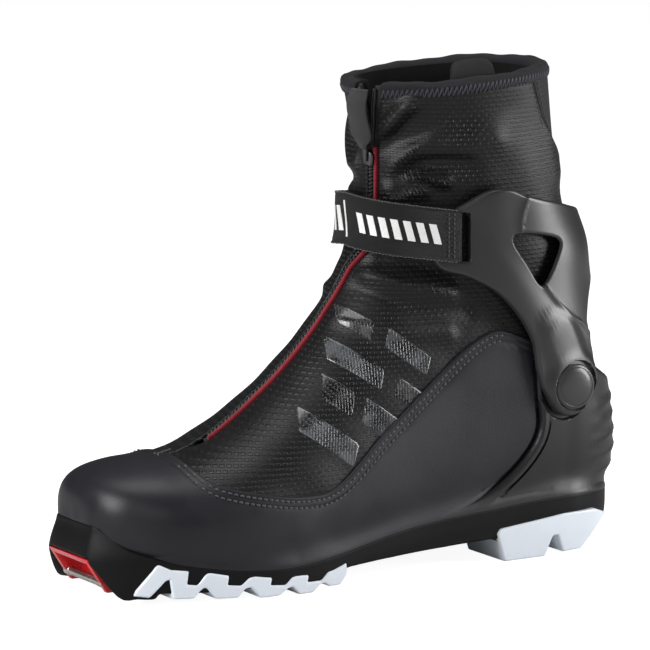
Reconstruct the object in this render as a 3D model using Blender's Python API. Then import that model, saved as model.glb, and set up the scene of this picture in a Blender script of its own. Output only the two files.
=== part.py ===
"""Cross country ski boot, left foot, with a cuff that flexes on two ankle pivots.

World metres, +Z up, toe towards -X, outer (lateral) side towards -Y, soles resting on Z = 0.
Dimensions below are in millimetres and are scaled once, when a mesh is written.
"""

import math

import bmesh
import bpy
import numpy as np

MM = 0.001
BOOT = "ski_boot"
CUTTERS = "ski_boot_cutters"
CENTRING = (1.75, 1.5, 0.0)        # moves the finished boot over the middle of its footprint

# Sections of the last. Each one stands in a plane through Y, from a sole point to a top point:
# sole x, sole z, top x, top z, outer half width, inner half width, height of the widest line,
# squareness of the lower half, squareness of the upper half.
LAST = np.array([
    (-144.5, 30, -145.0, 42.0, 3.0, 3.0, 0.50, 2.6, 2.4),
    (-143.0, 24, -144.3, 49.0, 15.0, 14.0, 0.48, 3.0, 2.4),
    (-139.5, 21, -140.5, 54.5, 25.0, 25.0, 0.46, 3.2, 2.5),
    (-132.0, 19, -132.0, 58.0, 34.0, 33.5, 0.44, 3.3, 2.5),
    (-120.0, 16, -119.0, 60.0, 41.5, 39.5, 0.42, 3.3, 2.5),
    (-101.0, 13, -101.0, 61.5, 46.5, 44.0, 0.40, 3.3, 2.4),
    (-75.0, 11, -77.0, 68.5, 49.0, 46.0, 0.38, 3.3, 2.3),
    (-44.0, 11.5, -49.5, 85.5, 48.0, 45.0, 0.36, 3.3, 2.2),
    (-10.0, 14, -27.0, 105.5, 45.0, 42.0, 0.36, 3.2, 2.15),
    (26.0, 16, -9.0, 127.0, 42.0, 40.0, 0.38, 3.1, 2.1),
    (62.0, 17, 1.5, 147.0, 40.0, 38.0, 0.40, 3.0, 2.1),
    (98.0, 18, 6.5, 163.0, 39.0, 37.5, 0.42, 2.9, 2.1),
    (126.0, 21, 8.5, 176.0, 38.5, 37.0, 0.44, 2.6, 2.1),
    (141.0, 37, 8.5, 187.0, 38.5, 37.0, 0.46, 2.3, 2.1),
    (141.5, 62, 8.5, 197.0, 38.0, 37.0, 0.47, 2.2, 2.1),
    (136.5, 90, 8.0, 206.0, 37.5, 37.0, 0.48, 2.2, 2.1),
    (129.0, 122, 7.5, 214.0, 38.0, 37.5, 0.50, 2.2, 2.15),
    (119.5, 156, 6.5, 221.0, 39.0, 38.5, 0.50, 2.2, 2.15),
    (111.5, 192, 6.0, 226.5, 40.0, 39.5, 0.50, 2.2, 2.2),
    (105.5, 238, 5.0, 230.5, 41.0, 40.5, 0.50, 2.3, 2.2),
])
LAST_END = len(LAST) - 1.0
ROUND = 2.0 * math.pi
AROUND = 32                        # points round every section, shared by all the layers
STEP = 1e-3                        # parameter step for surface normals

# Layers, as distances out from the last.
LINER = (-6.0, -3.2)
INSOLE = (-9.0, -6.3)
TAPE = (-2.9, -1.6)
SHELL = (-1.3, 0.0)
CHAIN = (-1.3, 0.4)
PIPING = (-1.3, 1.1)
WRAP = (0.35, 1.8)
COUNTER = (2.15, 4.2)
CUFF = (4.6, 7.2)
STRAP = (7.7, 9.3)

# Zip, along the front ridge.
ZIP_START = 6.0
ZIP_TOP = 14.4
ZIP_LINE = [(0, 0.0), (6, 0.0), (7, 0.06), (9, 0.05), (9.8, -0.02), (10.5, -0.18), (19, -0.19)]
CHAIN_HALF = 1.6
PIPING_SPAN = (1.9, 4.4)
OUTER_EDGE = 4.7
INNER_EDGE = 1.9
TAPE_OUT = 9.0
COLLAR_SPREAD = 5.0
SEAM = 0.2
NEAR_ZIP = 6

# Ankle pivot and split between the foot and the collar.
PIVOT_X = 101.5
PIVOT_Z = 83.4
PIVOT_DEEP = 38.8
PIVOT_UNDER = 45.6
PIVOT_SHAFT = 4.0
PIVOT_HEAD = 11.0
PIVOT_PLAY = 0.08
PIVOT_SIDES = 24
ARM_TOP = 140.0                    # below this the cuff arm clears the counter by ARM_FREE more
ARM_FADE = 18.0
ARM_FREE = 0.7
CLEAR = 0.3
HALF_SPAN = 90.0

# Side view outlines, x and z.
FOOT_AREA = [(-200, -60), (240, -60), (240, 96), (150, 92), (98, 86.5), (3, 153), (-40, 183), (-200, 183)]
COLLAR_AREA = [(-60, 241), (3, 179.5), (62, 122.2), (94, 92), (98, 89.5), (150, 97), (240, 104), (240, 300),
               (-60, 300)]
WRAP_EDGE = [(-92, 66.5), (-98, 61), (-94, 54), (-75, 49), (-49, 45.7), (-31, 49), (-7, 67.5),
             (16.5, 85), (37.5, 101), (52, 110), (62.5, 113), (74, 110)]
WRAP_REAR = 94.0
COUNTER_EDGE = [(29.5, 26), (52, 33), (68, 42), (80.5, 54), (85.5, 65), (84, 80), (83, 96)]
COUNTER_BACK = [(100, 97), (108, 95), (120, 90), (132, 83), (150, 79), (200, 79)]
CUFF_EDGE = [(30, 148), (31, 160), (37.5, 170), (43, 175), (54, 181.5), (65, 182), (76, 177), (97, 171),
             (118, 164), (150, 160), (152, 134), (128, 133), (117, 125), (112, 108), (113, 92), (110, 78),
             (101, 72), (92, 73), (86, 82), (81, 93), (78.5, 106), (71, 119), (60, 131), (45, 140), (34, 143)]
WINDOW = [(68, 159), (93, 155), (93, 146), (84, 133), (76, 143)]
SLOT = [(40.6, 148), (43.6, 148), (43.6, 171), (40.6, 171)]
REAR_PANEL = [(80, 250), (82, 232), (90, 214), (100, 200), (112, 186), (150, 172), (150, 250)]

# Sole, side view and plan.
RAND = [(-158, 37), (-150, 36.5), (-143, 32.5), (-136, 27), (-124, 22.5), (-109.5, 19), (-83, 15),
        (-56, 13.8), (-29, 16.8), (4, 22.6), (32, 25.4), (63, 27.2), (95, 29), (118, 28.5), (156, 25)]
SOLE_UNDER = [(156, 17), (128, 12), (66, 10), (57, 11.5), (-24, 9), (-28, 6), (-50, 4.5), (-80, 5.5),
              (-110, 5.5), (-123, 6), (-126, 3.6), (-133, 3.6), (-141, 4.6), (-153.5, 24)]
SOLE_PLAN_OUTER = [(-151.5, 0), (-151.4, 13), (-150, 20.4), (-143, 29), (-132.5, 37), (-118, 43.5), (-96, 49),
                   (-70, 51.5), (-45, 50.5), (-15, 46.5), (20, 42.5), (60, 40.5), (100, 39.5), (124, 36),
                   (138, 28), (145.5, 16), (148, 0)]
SOLE_PLAN_INNER = [(-151.5, 0), (-151.4, 13), (-150, 20.4), (-143, 29), (-132.5, 36.5), (-118, 42), (-96, 46.5),
                   (-70, 48.5), (-45, 47.5), (-15, 43.5), (20, 40.5), (60, 38.5), (100, 38), (124, 35),
                   (138, 27.5), (145.5, 16), (148, 0)]
FRONT_TREAD = [(-134.5, 5.5), (-133.6, 8), (-125, 20), (-124, 20), (-119, 17.5), (-111, 16.5), (-111.8, 10.2),
               (-107, 9.6), (-103, 14.6), (-101, 15), (-92, 13), (-92.6, 8.6), (-86, 7.8), (-82, 11),
               (-79, 11.4), (-70, 9.9), (-70.8, 6.5), (-63, 5.6), (-59.5, 8.8), (-57, 9.2), (-50, 8.9),
               (-50.6, 5.5), (-43, 5.2), (-39, 8.8), (-36, 9.2), (-28, 11.6), (-27.6, 6.5), (-31.5, 1.6),
               (-38, 1.6), (-41, 3.9), (-44, 3.2), (-47, 0), (-55, 0), (-59, 4.4), (-62, 3.6), (-66, 0.8),
               (-76, 0.9), (-81, 6.3), (-84, 5.9), (-87, 2.2), (-98, 2.4), (-103, 8.2), (-105, 7.6),
               (-108.5, 3.4), (-118, 3.6), (-119.6, 13), (-121.4, 12.4), (-128, 4.6)]
HEEL_TREAD = [(61.5, 14), (63, 16.4), (101, 20), (120, 20), (128, 17), (111.5, 1.2), (100.5, 1), (97, 9.8),
              (94, 9.8), (89.5, 0), (66, 0), (65.2, 2)]
TREAD_INNER = 17.0
TREAD_GAP = 0.3
GROOVE_Y = 10.0
GROOVE_HALF = 2.6
GROOVE_ROOF = 7.2
GROOVE_SPAN = (-123.0, -30.0)
HEEL_SLOT_HALF = 8.0
HEEL_SLOT_ROOF = 12.0

# Toe fitting.
INSERT = [(-150.2, 21), (-147.5, 21), (-139.5, 17), (-131, 14.8), (-131, 4.4), (-139.4, 4.4)]
INSERT_HALF = 19.0
INSERT_BAY = [(-170, 18.4), (-148, 18.4), (-140, 14.6), (-134, 13), (-134, -4), (-170, -4)]
BAY_HALF = 16.0
NOSE_CUT = [(-170, 21.35), (-147.4, 21.35), (-139.4, 17.35), (-130.7, 15.15), (-130.7, -4), (-170, -4)]
NOSE_REAR = -128.5
NOSE_HALF = 22.0
BAR_X = -140.5
BAR_Z = 9.0
BAR_RADIUS = 2.3
BAR_HOLE = 2.6
BAR_HALF = 18.6
SOLE_LIFT = 2.1
TREAD_LIFT = 4.2
RECESS_LIFT = 3.9

# Strap, followed round the collar by direction from a point inside it.
HUB_X = 58.0
STRAP_OUTER = math.radians(246.0)
STRAP_INNER = math.radians(84.0)
STRAP_STEPS = 22
STRAP_FRONT_Z = 167.0
STRAP_DROP = 7.0
STRAP_HALF = 12.5

# Joint axes: pieces whose names start so have their origins there.
CUFF_AXIS = (PIVOT_X, 0.0, PIVOT_Z)
STRAP_AXIS = (39.6, -41.5, 159.5)
SLIDER_AXIS = (8.0, -8.3, 197.0)
ORIGINS = [
    ("softshell_collar", CUFF_AXIS), ("collar_", CUFF_AXIS), ("liner_collar", CUFF_AXIS),
    ("zip_coil_collar", CUFF_AXIS), ("zip_tape_collar", CUFF_AXIS), ("piping_collar", CUFF_AXIS),
    ("pull_tab", CUFF_AXIS), ("cuff", CUFF_AXIS), ("pivot_cap", CUFF_AXIS),
    ("strap_flap", STRAP_AXIS), ("zip_slider", SLIDER_AXIS), ("zip_pull", SLIDER_AXIS),
]

MATERIALS = {
    "sole_black": ((0.020, 0.020, 0.022, 1), 0.0, 0.45),
    "tread_white": ((0.80, 0.83, 0.87, 1), 0.0, 0.50),
    "insert_red": ((0.62, 0.02, 0.05, 1), 0.0, 0.40),
    "bar_steel": ((0.62, 0.61, 0.58, 1), 1.0, 0.30),
    "wrap_black": ((0.028, 0.027, 0.033, 1), 0.0, 0.50),
    "counter_black": ((0.026, 0.026, 0.028, 1), 0.0, 0.38),
    "softshell": ((0.030, 0.030, 0.032, 1), 0.0, 0.80),
    "rear_stretch": ((0.040, 0.040, 0.043, 1), 0.0, 0.85),
    "binding": ((0.050, 0.050, 0.062, 1), 0.0, 0.90),
    "liner_grey": ((0.045, 0.045, 0.050, 1), 0.0, 0.95),
    "insole_grey": ((0.10, 0.10, 0.11, 1), 0.0, 0.90),
    "tape_black": ((0.015, 0.015, 0.015, 1), 0.0, 0.85),
    "coil_black": ((0.020, 0.020, 0.020, 1), 0.0, 0.35),
    "piping_red": ((0.55, 0.03, 0.08, 1), 0.0, 0.55),
    "slider_metal": ((0.16, 0.16, 0.17, 1), 1.0, 0.35),
    "ribbon_grey": ((0.07, 0.07, 0.075, 1), 0.0, 0.80),
    "cuff_grey": ((0.055, 0.055, 0.057, 1), 0.0, 0.36),
    "cap_grey": ((0.060, 0.060, 0.062, 1), 0.0, 0.32),
    "strap_black": ((0.030, 0.030, 0.033, 1), 0.0, 0.80),
    "tab_grey": ((0.060, 0.060, 0.066, 1), 0.0, 0.85),
}


def clear_scene():
    for ob in list(bpy.data.objects):
        bpy.data.objects.remove(ob, do_unlink=True)


def new_collection(name):
    col = bpy.data.collections.new(name)
    bpy.context.scene.collection.children.link(col)
    return col


def material(name):
    mat = bpy.data.materials.get(name)
    if mat:
        return mat
    mat = bpy.data.materials.new(name)
    mat.use_nodes = True
    color, metallic, roughness = MATERIALS[name]
    bsdf = mat.node_tree.nodes["Principled BSDF"]
    bsdf.inputs["Base Color"].default_value = color
    bsdf.inputs["Metallic"].default_value = metallic
    bsdf.inputs["Roughness"].default_value = roughness
    mat.diffuse_color = color
    return mat


def section(u):
    """Section values at u, by a Catmull-Rom spline through the LAST rows."""
    u = np.clip(np.asarray(u, float), 0.0, LAST_END)
    i = np.minimum(u.astype(int), len(LAST) - 2)
    f = (u - i)[..., None]
    p1 = LAST[i]
    p2 = LAST[i + 1]
    p0 = np.where((i == 0)[..., None], 2 * p1 - p2, LAST[np.maximum(i - 1, 0)])
    p3 = np.where((i == len(LAST) - 2)[..., None], 2 * p2 - p1, LAST[np.minimum(i + 2, len(LAST) - 1)])
    return 0.5 * (2 * p1 + (p2 - p0) * f + (2 * p0 - 5 * p1 + 4 * p2 - p3) * f ** 2
                  + (3 * p1 - p0 - 3 * p2 + p3) * f ** 3)


def last_point(u, phi):
    """Point of the last at section u, phi running from the sole round the outer side to the top."""
    u, phi = np.broadcast_arrays(np.asarray(u, float), np.asarray(phi, float))
    bx, bz, tx, tz, outer, inner, wide, low_n, up_n = np.moveaxis(section(u), -1, 0)
    low = np.cos(phi) > 0
    power = 2.0 / np.where(low, low_n, up_n)
    rise = np.abs(np.cos(phi)) ** power
    part = np.where(low, wide * (1 - rise), wide + (1 - wide) * rise)
    y = np.where(np.sin(phi) >= 0, -outer, inner) * np.abs(np.sin(phi)) ** power
    return np.stack([bx + (tx - bx) * part, y, bz + (tz - bz) * part], -1)


def skin(u, phi, lift):
    """Point standing off the last by lift, along its outward normal."""
    u, phi = np.broadcast_arrays(np.asarray(u, float), np.asarray(phi, float))
    along = last_point(np.minimum(u + STEP, LAST_END), phi) - last_point(np.maximum(u - STEP, 0), phi)
    turn = 0.04
    across = last_point(u, phi + turn) - last_point(u, phi - turn)
    normal = np.cross(across, along)
    normal /= np.maximum(np.linalg.norm(normal, axis=-1, keepdims=True), 1e-9)
    centre = 0.5 * (last_point(u, np.zeros_like(phi)) + last_point(u, np.full_like(phi, math.pi)))
    here = last_point(u, phi)
    facing = np.sign(np.sum(normal * (here - centre), -1, keepdims=True))
    return here + normal * facing * np.asarray(lift)[..., None]


def smooth(points, count, closed=False):
    """Catmull-Rom curve through points, count steps to a span."""
    pts = np.array(points, float)
    size = len(pts)
    spans = size if closed else size - 1
    out = []
    for i in range(spans):
        if closed:
            p0, p1, p2, p3 = (pts[(i + k) % size] for k in (-1, 0, 1, 2))
        else:
            p0 = pts[max(i - 1, 0)]
            p1 = pts[i]
            p2 = pts[i + 1]
            p3 = pts[min(i + 2, size - 1)]
        for k in range(count):
            f = k / count
            out.append(0.5 * (2 * p1 + (p2 - p0) * f + (2 * p0 - 5 * p1 + 4 * p2 - p3) * f ** 2
                              + (3 * p1 - p0 - 3 * p2 + p3) * f ** 3))
    if not closed:
        out.append(pts[-1])
    return [tuple(p) for p in out]


def write_mesh(name, verts, faces, slot, collection):
    """Closed mesh object from millimetre points, faces turned outwards, its origin on its joint axis."""
    origin = next((at for start, at in ORIGINS if name.startswith(start)), (0.0, 0.0, 0.0))
    mesh = bpy.data.meshes.new(name)
    mesh.from_pydata([tuple((float(c) - o) * MM for c, o in zip(v, origin)) for v in verts], [], faces)
    ob = bpy.data.objects.new(name, mesh)
    ob.location = tuple((o + s) * MM for o, s in zip(origin, CENTRING))
    collection.objects.link(ob)
    bm = bmesh.new()
    bm.from_mesh(mesh)
    bmesh.ops.remove_doubles(bm, verts=bm.verts, dist=1e-7)
    bmesh.ops.recalc_face_normals(bm, faces=bm.faces)
    bm.to_mesh(mesh)
    bm.free()
    if slot:
        mesh.materials.append(material(slot))
    return ob


def facets(a, b, c, d):
    """Two triangles for a skew quad, always split the same way so that layers nest."""
    return [(a, b, c), (a, c, d)]


def shell(name, outside, inside, slot, ring=False):
    """Body between two point grids; a ring closes on itself across the second index."""
    rows, cols = outside.shape[:2]
    verts = list(outside.reshape(-1, 3)) + list(inside.reshape(-1, 3))
    deep = rows * cols
    spans = cols if ring else cols - 1
    faces = []
    for i in range(rows - 1):
        for j in range(spans):
            k = (j + 1) % cols
            a, b, c, d = i * cols + j, i * cols + k, (i + 1) * cols + k, (i + 1) * cols + j
            faces += facets(a, b, c, d)
            faces += facets(a + deep, b + deep, c + deep, d + deep)
    for j in range(spans):
        k = (j + 1) % cols
        last_row = (rows - 1) * cols
        faces.append((j, j + deep, k + deep, k))
        faces.append((last_row + j, last_row + k, last_row + k + deep, last_row + j + deep))
    if not ring:
        for i in range(rows - 1):
            a, b = i * cols, (i + 1) * cols
            faces.append((a, b, b + deep, a + deep))
            a, b = a + cols - 1, b + cols - 1
            faces.append((a, a + deep, b + deep, b))
    return write_mesh(name, verts, faces, slot, parts)


def tube(name, sections, lifts, slot):
    """Ring-shaped layer round the whole last, open at its first and last section."""
    u, phi = np.meshgrid(sections, np.arange(AROUND) * ROUND / AROUND, indexing="ij")
    return shell(name, skin(u, phi, np.full(u.shape, lifts[1])), skin(u, phi, np.full(u.shape, lifts[0])),
                 slot, ring=True)


def plug(name, sections, lift, slot, collection):
    """Solid filling the last out to lift, capped at both ends."""
    u, phi = np.meshgrid(sections, np.arange(AROUND) * ROUND / AROUND, indexing="ij")
    grid = skin(u, phi, np.full(u.shape, lift))
    faces = []
    for i in range(len(sections) - 1):
        for j in range(AROUND):
            k = (j + 1) % AROUND
            faces += facets(i * AROUND + j, i * AROUND + k, (i + 1) * AROUND + k, (i + 1) * AROUND + j)
    base = (len(sections) - 1) * AROUND
    faces.append(tuple(range(AROUND)))
    faces.append(tuple(base + j for j in range(AROUND)))
    return write_mesh(name, grid.reshape(-1, 3), faces, slot, collection)


def zip_phi(u, away):
    """Direction of the zip line at u, away millimetres to the outer side of its centre."""
    u = np.asarray(u, float)
    centre = math.pi + np.interp(u, *np.array(ZIP_LINE).T)
    size = np.linalg.norm(last_point(u, centre + 0.05) - last_point(u, centre - 0.05), axis=-1) / 0.1
    return centre - away / size


def strip(name, sections, outer_mm, inner_mm, lifts, slot, cols=3):
    """Narrow layer along the zip, between two distances from its centre."""
    sections = np.asarray(sections, float)
    low = zip_phi(sections, outer_mm)
    high = zip_phi(sections, inner_mm)
    f = np.linspace(0, 1, cols)
    phi = low[:, None] * (1 - f) + high[:, None] * f
    u = np.repeat(sections[:, None], cols, 1)
    return shell(name, skin(u, phi, np.full(u.shape, lifts[1])), skin(u, phi, np.full(u.shape, lifts[0])), slot)


def half_layer(name, side, sections, away, lifts, slot):
    """Half of a layer: from the sole seam up one side to the zip edge."""
    sections = np.asarray(sections, float)
    shared = np.arange(AROUND // 2 + 1) * ROUND / AROUND
    rows = []
    for k, u in enumerate(sections):
        edge = float(zip_phi(u, away[k]))
        edge = edge if side > 0 else ROUND - edge
        keep = shared[1:-3]
        near_zip = np.linspace(keep[-1], edge, NEAR_ZIP)[1:]
        rows.append([seam_turn(u)] + list(keep) + list(near_zip))
    phi = np.array(rows)
    if side < 0:
        phi = ROUND - phi[:, ::-1]
    u = np.repeat(sections[:, None], phi.shape[1], 1)
    return shell(name, skin(u, phi, np.full(u.shape, lifts[1])), skin(u, phi, np.full(u.shape, lifts[0])), slot)


def seam_turn(u):
    """Turn that leaves half the seam gap beside the middle of the sole."""
    reach = float(section(u)[4])
    low_n = float(section(u)[7])
    return (SEAM / reach) ** (low_n / 2.0)


def prism(name, outline, y0, y1, slot=None, collection=None):
    """Side view outline drawn out across the boot."""
    n = len(outline)
    verts = [(x, y0, z) for x, z in outline] + [(x, y1, z) for x, z in outline]
    faces = [tuple(range(n)), tuple(range(2 * n - 1, n - 1, -1))]
    for i in range(n):
        k = (i + 1) % n
        faces.append((i, k, n + k, n + i))
    return write_mesh(name, verts, faces, slot, collection or cutters)


def slab(name, outline, z0, z1, slot=None, collection=None):
    """Plan outline drawn out upwards."""
    n = len(outline)
    verts = [(x, y, z0) for x, y in outline] + [(x, y, z1) for x, y in outline]
    faces = [tuple(range(n)), tuple(range(2 * n - 1, n - 1, -1))]
    for i in range(n):
        k = (i + 1) % n
        faces.append((i, k, n + k, n + i))
    return write_mesh(name, verts, faces, slot, collection or cutters)


def box(name, x, y, z):
    return slab(name, [(x[0], y[0]), (x[1], y[0]), (x[1], y[1]), (x[0], y[1])], z[0], z[1])


def rod(name, x, z, y0, y1, radius, sides=PIVOT_SIDES, slot=None, collection=None):
    """Cylinder along Y."""
    ring = [(x + radius * math.cos(ROUND * k / sides), z + radius * math.sin(ROUND * k / sides))
            for k in range(sides)]
    return prism(name, ring, y0, y1, slot, collection)


def boolean(ob, cutter, operation):
    mod = ob.modifiers.new(f"{operation.lower()}_{cutter.name}", "BOOLEAN")
    mod.operation = operation
    mod.solver = "EXACT"
    mod.object = cutter
    return ob


def grow(outline, by):
    """Outline moved outwards by a small distance."""
    pts = np.array(outline, float)
    after = np.roll(pts, -1, 0) - pts
    before = pts - np.roll(pts, 1, 0)
    area = np.sum(pts[:, 0] * np.roll(pts[:, 1], -1) - np.roll(pts[:, 0], -1) * pts[:, 1])
    turn = np.sign(area)
    na = np.stack([after[:, 1], -after[:, 0]], -1) * turn
    nb = np.stack([before[:, 1], -before[:, 0]], -1) * turn
    na /= np.linalg.norm(na, axis=1, keepdims=True)
    nb /= np.linalg.norm(nb, axis=1, keepdims=True)
    mid = na + nb
    mid /= np.maximum(np.sum(mid * na, 1, keepdims=True), 0.35)
    return [tuple(p) for p in pts + mid * by]


def collar_grid(lift):
    """Fine grid of points over the collar at one lift."""
    phi = np.linspace(0, ROUND, 145)[:-1]
    u, phi = np.meshgrid(np.linspace(8.0, LAST_END, 221), phi, indexing="ij")
    return skin(u, phi, np.full(u.shape, lift))


def level(grid, turn, z):
    """Point of a collar grid at height z, in the direction turn from the hub."""
    ring = []
    for column in np.moveaxis(grid, 1, 0):
        heights = np.maximum.accumulate(column[:, 2])
        ring.append((np.interp(z, heights, column[:, 0]), np.interp(z, heights, column[:, 1])))
    ring = np.array(ring)
    angle = np.arctan2(ring[:, 1], ring[:, 0] - HUB_X) % ROUND
    order = np.argsort(angle)
    x = np.interp(turn, angle[order], ring[order, 0], period=ROUND)
    y = np.interp(turn, angle[order], ring[order, 1], period=ROUND)
    return np.array([x, y, z])


def even(first, final, count):
    return [first + (final - first) * k / (count - 1) for k in range(count)]


def sweep(name, loops, slot):
    """Closed loops of points joined one after another and capped at both ends."""
    count = len(loops[0])
    verts = [p for loop in loops for p in loop]
    faces = [tuple(range(count)), tuple((len(loops) - 1) * count + k for k in range(count))]
    for i in range(len(loops) - 1):
        for k in range(count):
            m = (k + 1) % count
            faces.append((i * count + k, i * count + m, (i + 1) * count + m, (i + 1) * count + k))
    return write_mesh(name, verts, faces, slot, parts)


def sock(name, sections, lifts, slot):
    """Layer closed over the toe and open at its last section."""
    u, phi = np.meshgrid(sections, np.arange(AROUND) * ROUND / AROUND, indexing="ij")
    outside = skin(u, phi, np.full(u.shape, lifts[1]))
    inside = skin(u, phi, np.full(u.shape, lifts[0]))
    rows = len(sections)
    deep = rows * AROUND
    faces = [tuple(range(AROUND)), tuple(deep + j for j in range(AROUND))]
    for j in range(AROUND):
        k = (j + 1) % AROUND
        for i in range(rows - 1):
            a, b, c, d = i * AROUND + j, i * AROUND + k, (i + 1) * AROUND + k, (i + 1) * AROUND + j
            faces += facets(a, b, c, d)
            faces += facets(a + deep, b + deep, c + deep, d + deep)
        top = (rows - 1) * AROUND
        faces.append((top + j, top + k, top + k + deep, top + j + deep))
    return write_mesh(name, list(outside.reshape(-1, 3)) + list(inside.reshape(-1, 3)), faces, slot, parts)


def shared_cutters():
    """Volumes that several sub-parts are trimmed with."""
    rings = even(0, LAST_END, len(LAST))
    side = {
        "foot_area": prism("foot_area", FOOT_AREA, -HALF_SPAN, HALF_SPAN),
        "collar_area": prism("collar_area", COLLAR_AREA, -HALF_SPAN, HALF_SPAN),
        "rear_area": prism("rear_area", REAR_PANEL, -HALF_SPAN, HALF_SPAN),
        "rear_gap": prism("rear_gap", grow(REAR_PANEL, CLEAR), -HALF_SPAN, HALF_SPAN),
        "sole_hollow": plug("sole_hollow", rings, SOLE_LIFT, None, cutters),
        "tread_hollow": plug("tread_hollow", rings, TREAD_LIFT, None, cutters),
        "tread_nose": box("tread_nose", (-170, NOSE_REAR), (-NOSE_HALF, NOSE_HALF), (-20, 60)),
        "recess_nose": box("recess_nose", (-170, NOSE_REAR - TREAD_GAP),
                           (TREAD_GAP - NOSE_HALF, NOSE_HALF - TREAD_GAP), (-20, 60)),
        "recess_hollow": plug("recess_hollow", rings, RECESS_LIFT, None, cutters),
    }
    outer = smooth(SOLE_PLAN_OUTER, 2)
    inner = smooth(SOLE_PLAN_INNER, 2)
    plan = [(x, -y) for x, y in outer] + [(x, y) for x, y in reversed(inner[1:-1])]
    side["sole_plan"] = slab("sole_plan", plan, -20, 60)
    return side


def wrap_outline():
    """Side view area of the wrap, from the toe to under the heel counter."""
    edge = smooth(WRAP_EDGE, 3)
    return [(-200, -20), (WRAP_REAR, -20), (WRAP_REAR, 100)] + list(reversed(edge)) + [(-92, 140), (-200, 140)]


def counter_outline():
    """Side view area of the heel counter, standing on the rand line."""
    foot = [(x, z + CLEAR) for x, z in smooth(RAND, 2) if x > COUNTER_EDGE[0][0]]
    return smooth(COUNTER_EDGE, 2) + COUNTER_BACK + [(200, foot[-1][1])] + list(reversed(foot))


def build_outsole(cut):
    """Black sole: side profile within the plan, hollowed for the foot, the treads and the toe fitting."""
    rand = smooth(RAND, 2)
    ob = prism("outsole", rand + SOLE_UNDER, -HALF_SPAN, HALF_SPAN, "sole_black", parts)
    boolean(ob, cut["sole_plan"], "INTERSECT")
    boolean(ob, cut["sole_hollow"], "DIFFERENCE")
    recess = grow(FRONT_TREAD, TREAD_GAP)
    inner = TREAD_INNER - TREAD_GAP
    for label, y0, y1 in (("lateral", -HALF_SPAN, -inner), ("medial", inner, HALF_SPAN)):
        cutter = prism(f"recess_{label}", recess, y0, y1)
        boolean(cutter, cut["recess_hollow"], "DIFFERENCE")
        boolean(cutter, cut["recess_nose"], "DIFFERENCE")
        boolean(ob, cutter, "DIFFERENCE")
        sign = -1 if label == "lateral" else 1
        y = sorted((sign * (GROOVE_Y - GROOVE_HALF), sign * (GROOVE_Y + GROOVE_HALF)))
        boolean(ob, box(f"groove_{label}", GROOVE_SPAN, y, (-20, GROOVE_ROOF)), "DIFFERENCE")
    heel = prism("recess_heel", grow(HEEL_TREAD, TREAD_GAP), -HALF_SPAN, HALF_SPAN)
    boolean(heel, cut["recess_hollow"], "DIFFERENCE")
    boolean(ob, heel, "DIFFERENCE")
    half = INSERT_HALF + CLEAR
    boolean(ob, prism("nose_bay", NOSE_CUT, -half, half), "DIFFERENCE")


def build_treads(cut):
    """White treads: two forefoot strips with slanted lugs and one heel piece."""
    for label, y0, y1 in (("lateral", -HALF_SPAN, -TREAD_INNER), ("medial", TREAD_INNER, HALF_SPAN)):
        ob = prism(f"tread_front_{label}", FRONT_TREAD, y0, y1, "tread_white", parts)
        boolean(ob, cut["sole_plan"], "INTERSECT")
        boolean(ob, cut["tread_hollow"], "DIFFERENCE")
        boolean(ob, cut["tread_nose"], "DIFFERENCE")
    ob = prism("tread_heel", HEEL_TREAD, -HALF_SPAN, HALF_SPAN, "tread_white", parts)
    boolean(ob, cut["sole_plan"], "INTERSECT")
    boolean(ob, cut["tread_hollow"], "DIFFERENCE")
    slot = box("heel_slot", (40, 107), (-HEEL_SLOT_HALF, HEEL_SLOT_HALF), (-20, HEEL_SLOT_ROOF - 4))
    boolean(ob, slot, "DIFFERENCE")


def build_toe_fitting():
    """Red insert in the nose, with the steel binding bar across its bay."""
    ob = prism("toe_insert", INSERT, -INSERT_HALF, INSERT_HALF, "insert_red", parts)
    boolean(ob, prism("insert_bay", INSERT_BAY, -BAY_HALF, BAY_HALF), "DIFFERENCE")
    hole = rod("bar_hole", BAR_X, BAR_Z, -HALF_SPAN, HALF_SPAN, BAR_HOLE)
    boolean(ob, hole, "DIFFERENCE")
    rod("toe_bar", BAR_X, BAR_Z, -BAR_HALF, BAR_HALF, BAR_RADIUS, slot="bar_steel", collection=parts)


def zip_gap(u, edge):
    """Distance from the zip centre to a fabric edge at section u."""
    if u < ZIP_START:
        return SEAM
    spread = COLLAR_SPREAD * max(0.0, u - ZIP_TOP) / (LAST_END - ZIP_TOP)
    return edge + spread


def build_softshell(cut):
    """Weatherproof outer fabric: outer and inner halves, cut at the ankle; stretch panel at the back."""
    rings = even(0, LAST_END, len(LAST))
    for label, side, edge in (("lateral", 1, OUTER_EDGE), ("medial", -1, INNER_EDGE)):
        away = [side * zip_gap(u, edge) for u in rings]
        foot = half_layer(f"softshell_instep_{label}", side, rings[:15], away, SHELL, "softshell")
        boolean(foot, cut["foot_area"], "INTERSECT")
        collar = half_layer(f"softshell_collar_{label}", side, rings[9:], away[9:], SHELL, "softshell")
        boolean(collar, cut["collar_area"], "INTERSECT")
        boolean(collar, cut["rear_gap"], "DIFFERENCE")
    rear = tube("collar_rear_panel", rings[12:], SHELL, "rear_stretch")
    boolean(rear, cut["rear_area"], "INTERSECT")


def build_wrap(cut):
    """Synthetic wrap over the toe and round the foot, ending under the heel counter."""
    ob = sock("vamp_wrap", even(0, 13, 14), WRAP, "wrap_black")
    area = prism("wrap_area", wrap_outline(), -HALF_SPAN, HALF_SPAN)
    boolean(ob, area, "INTERSECT")


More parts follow.
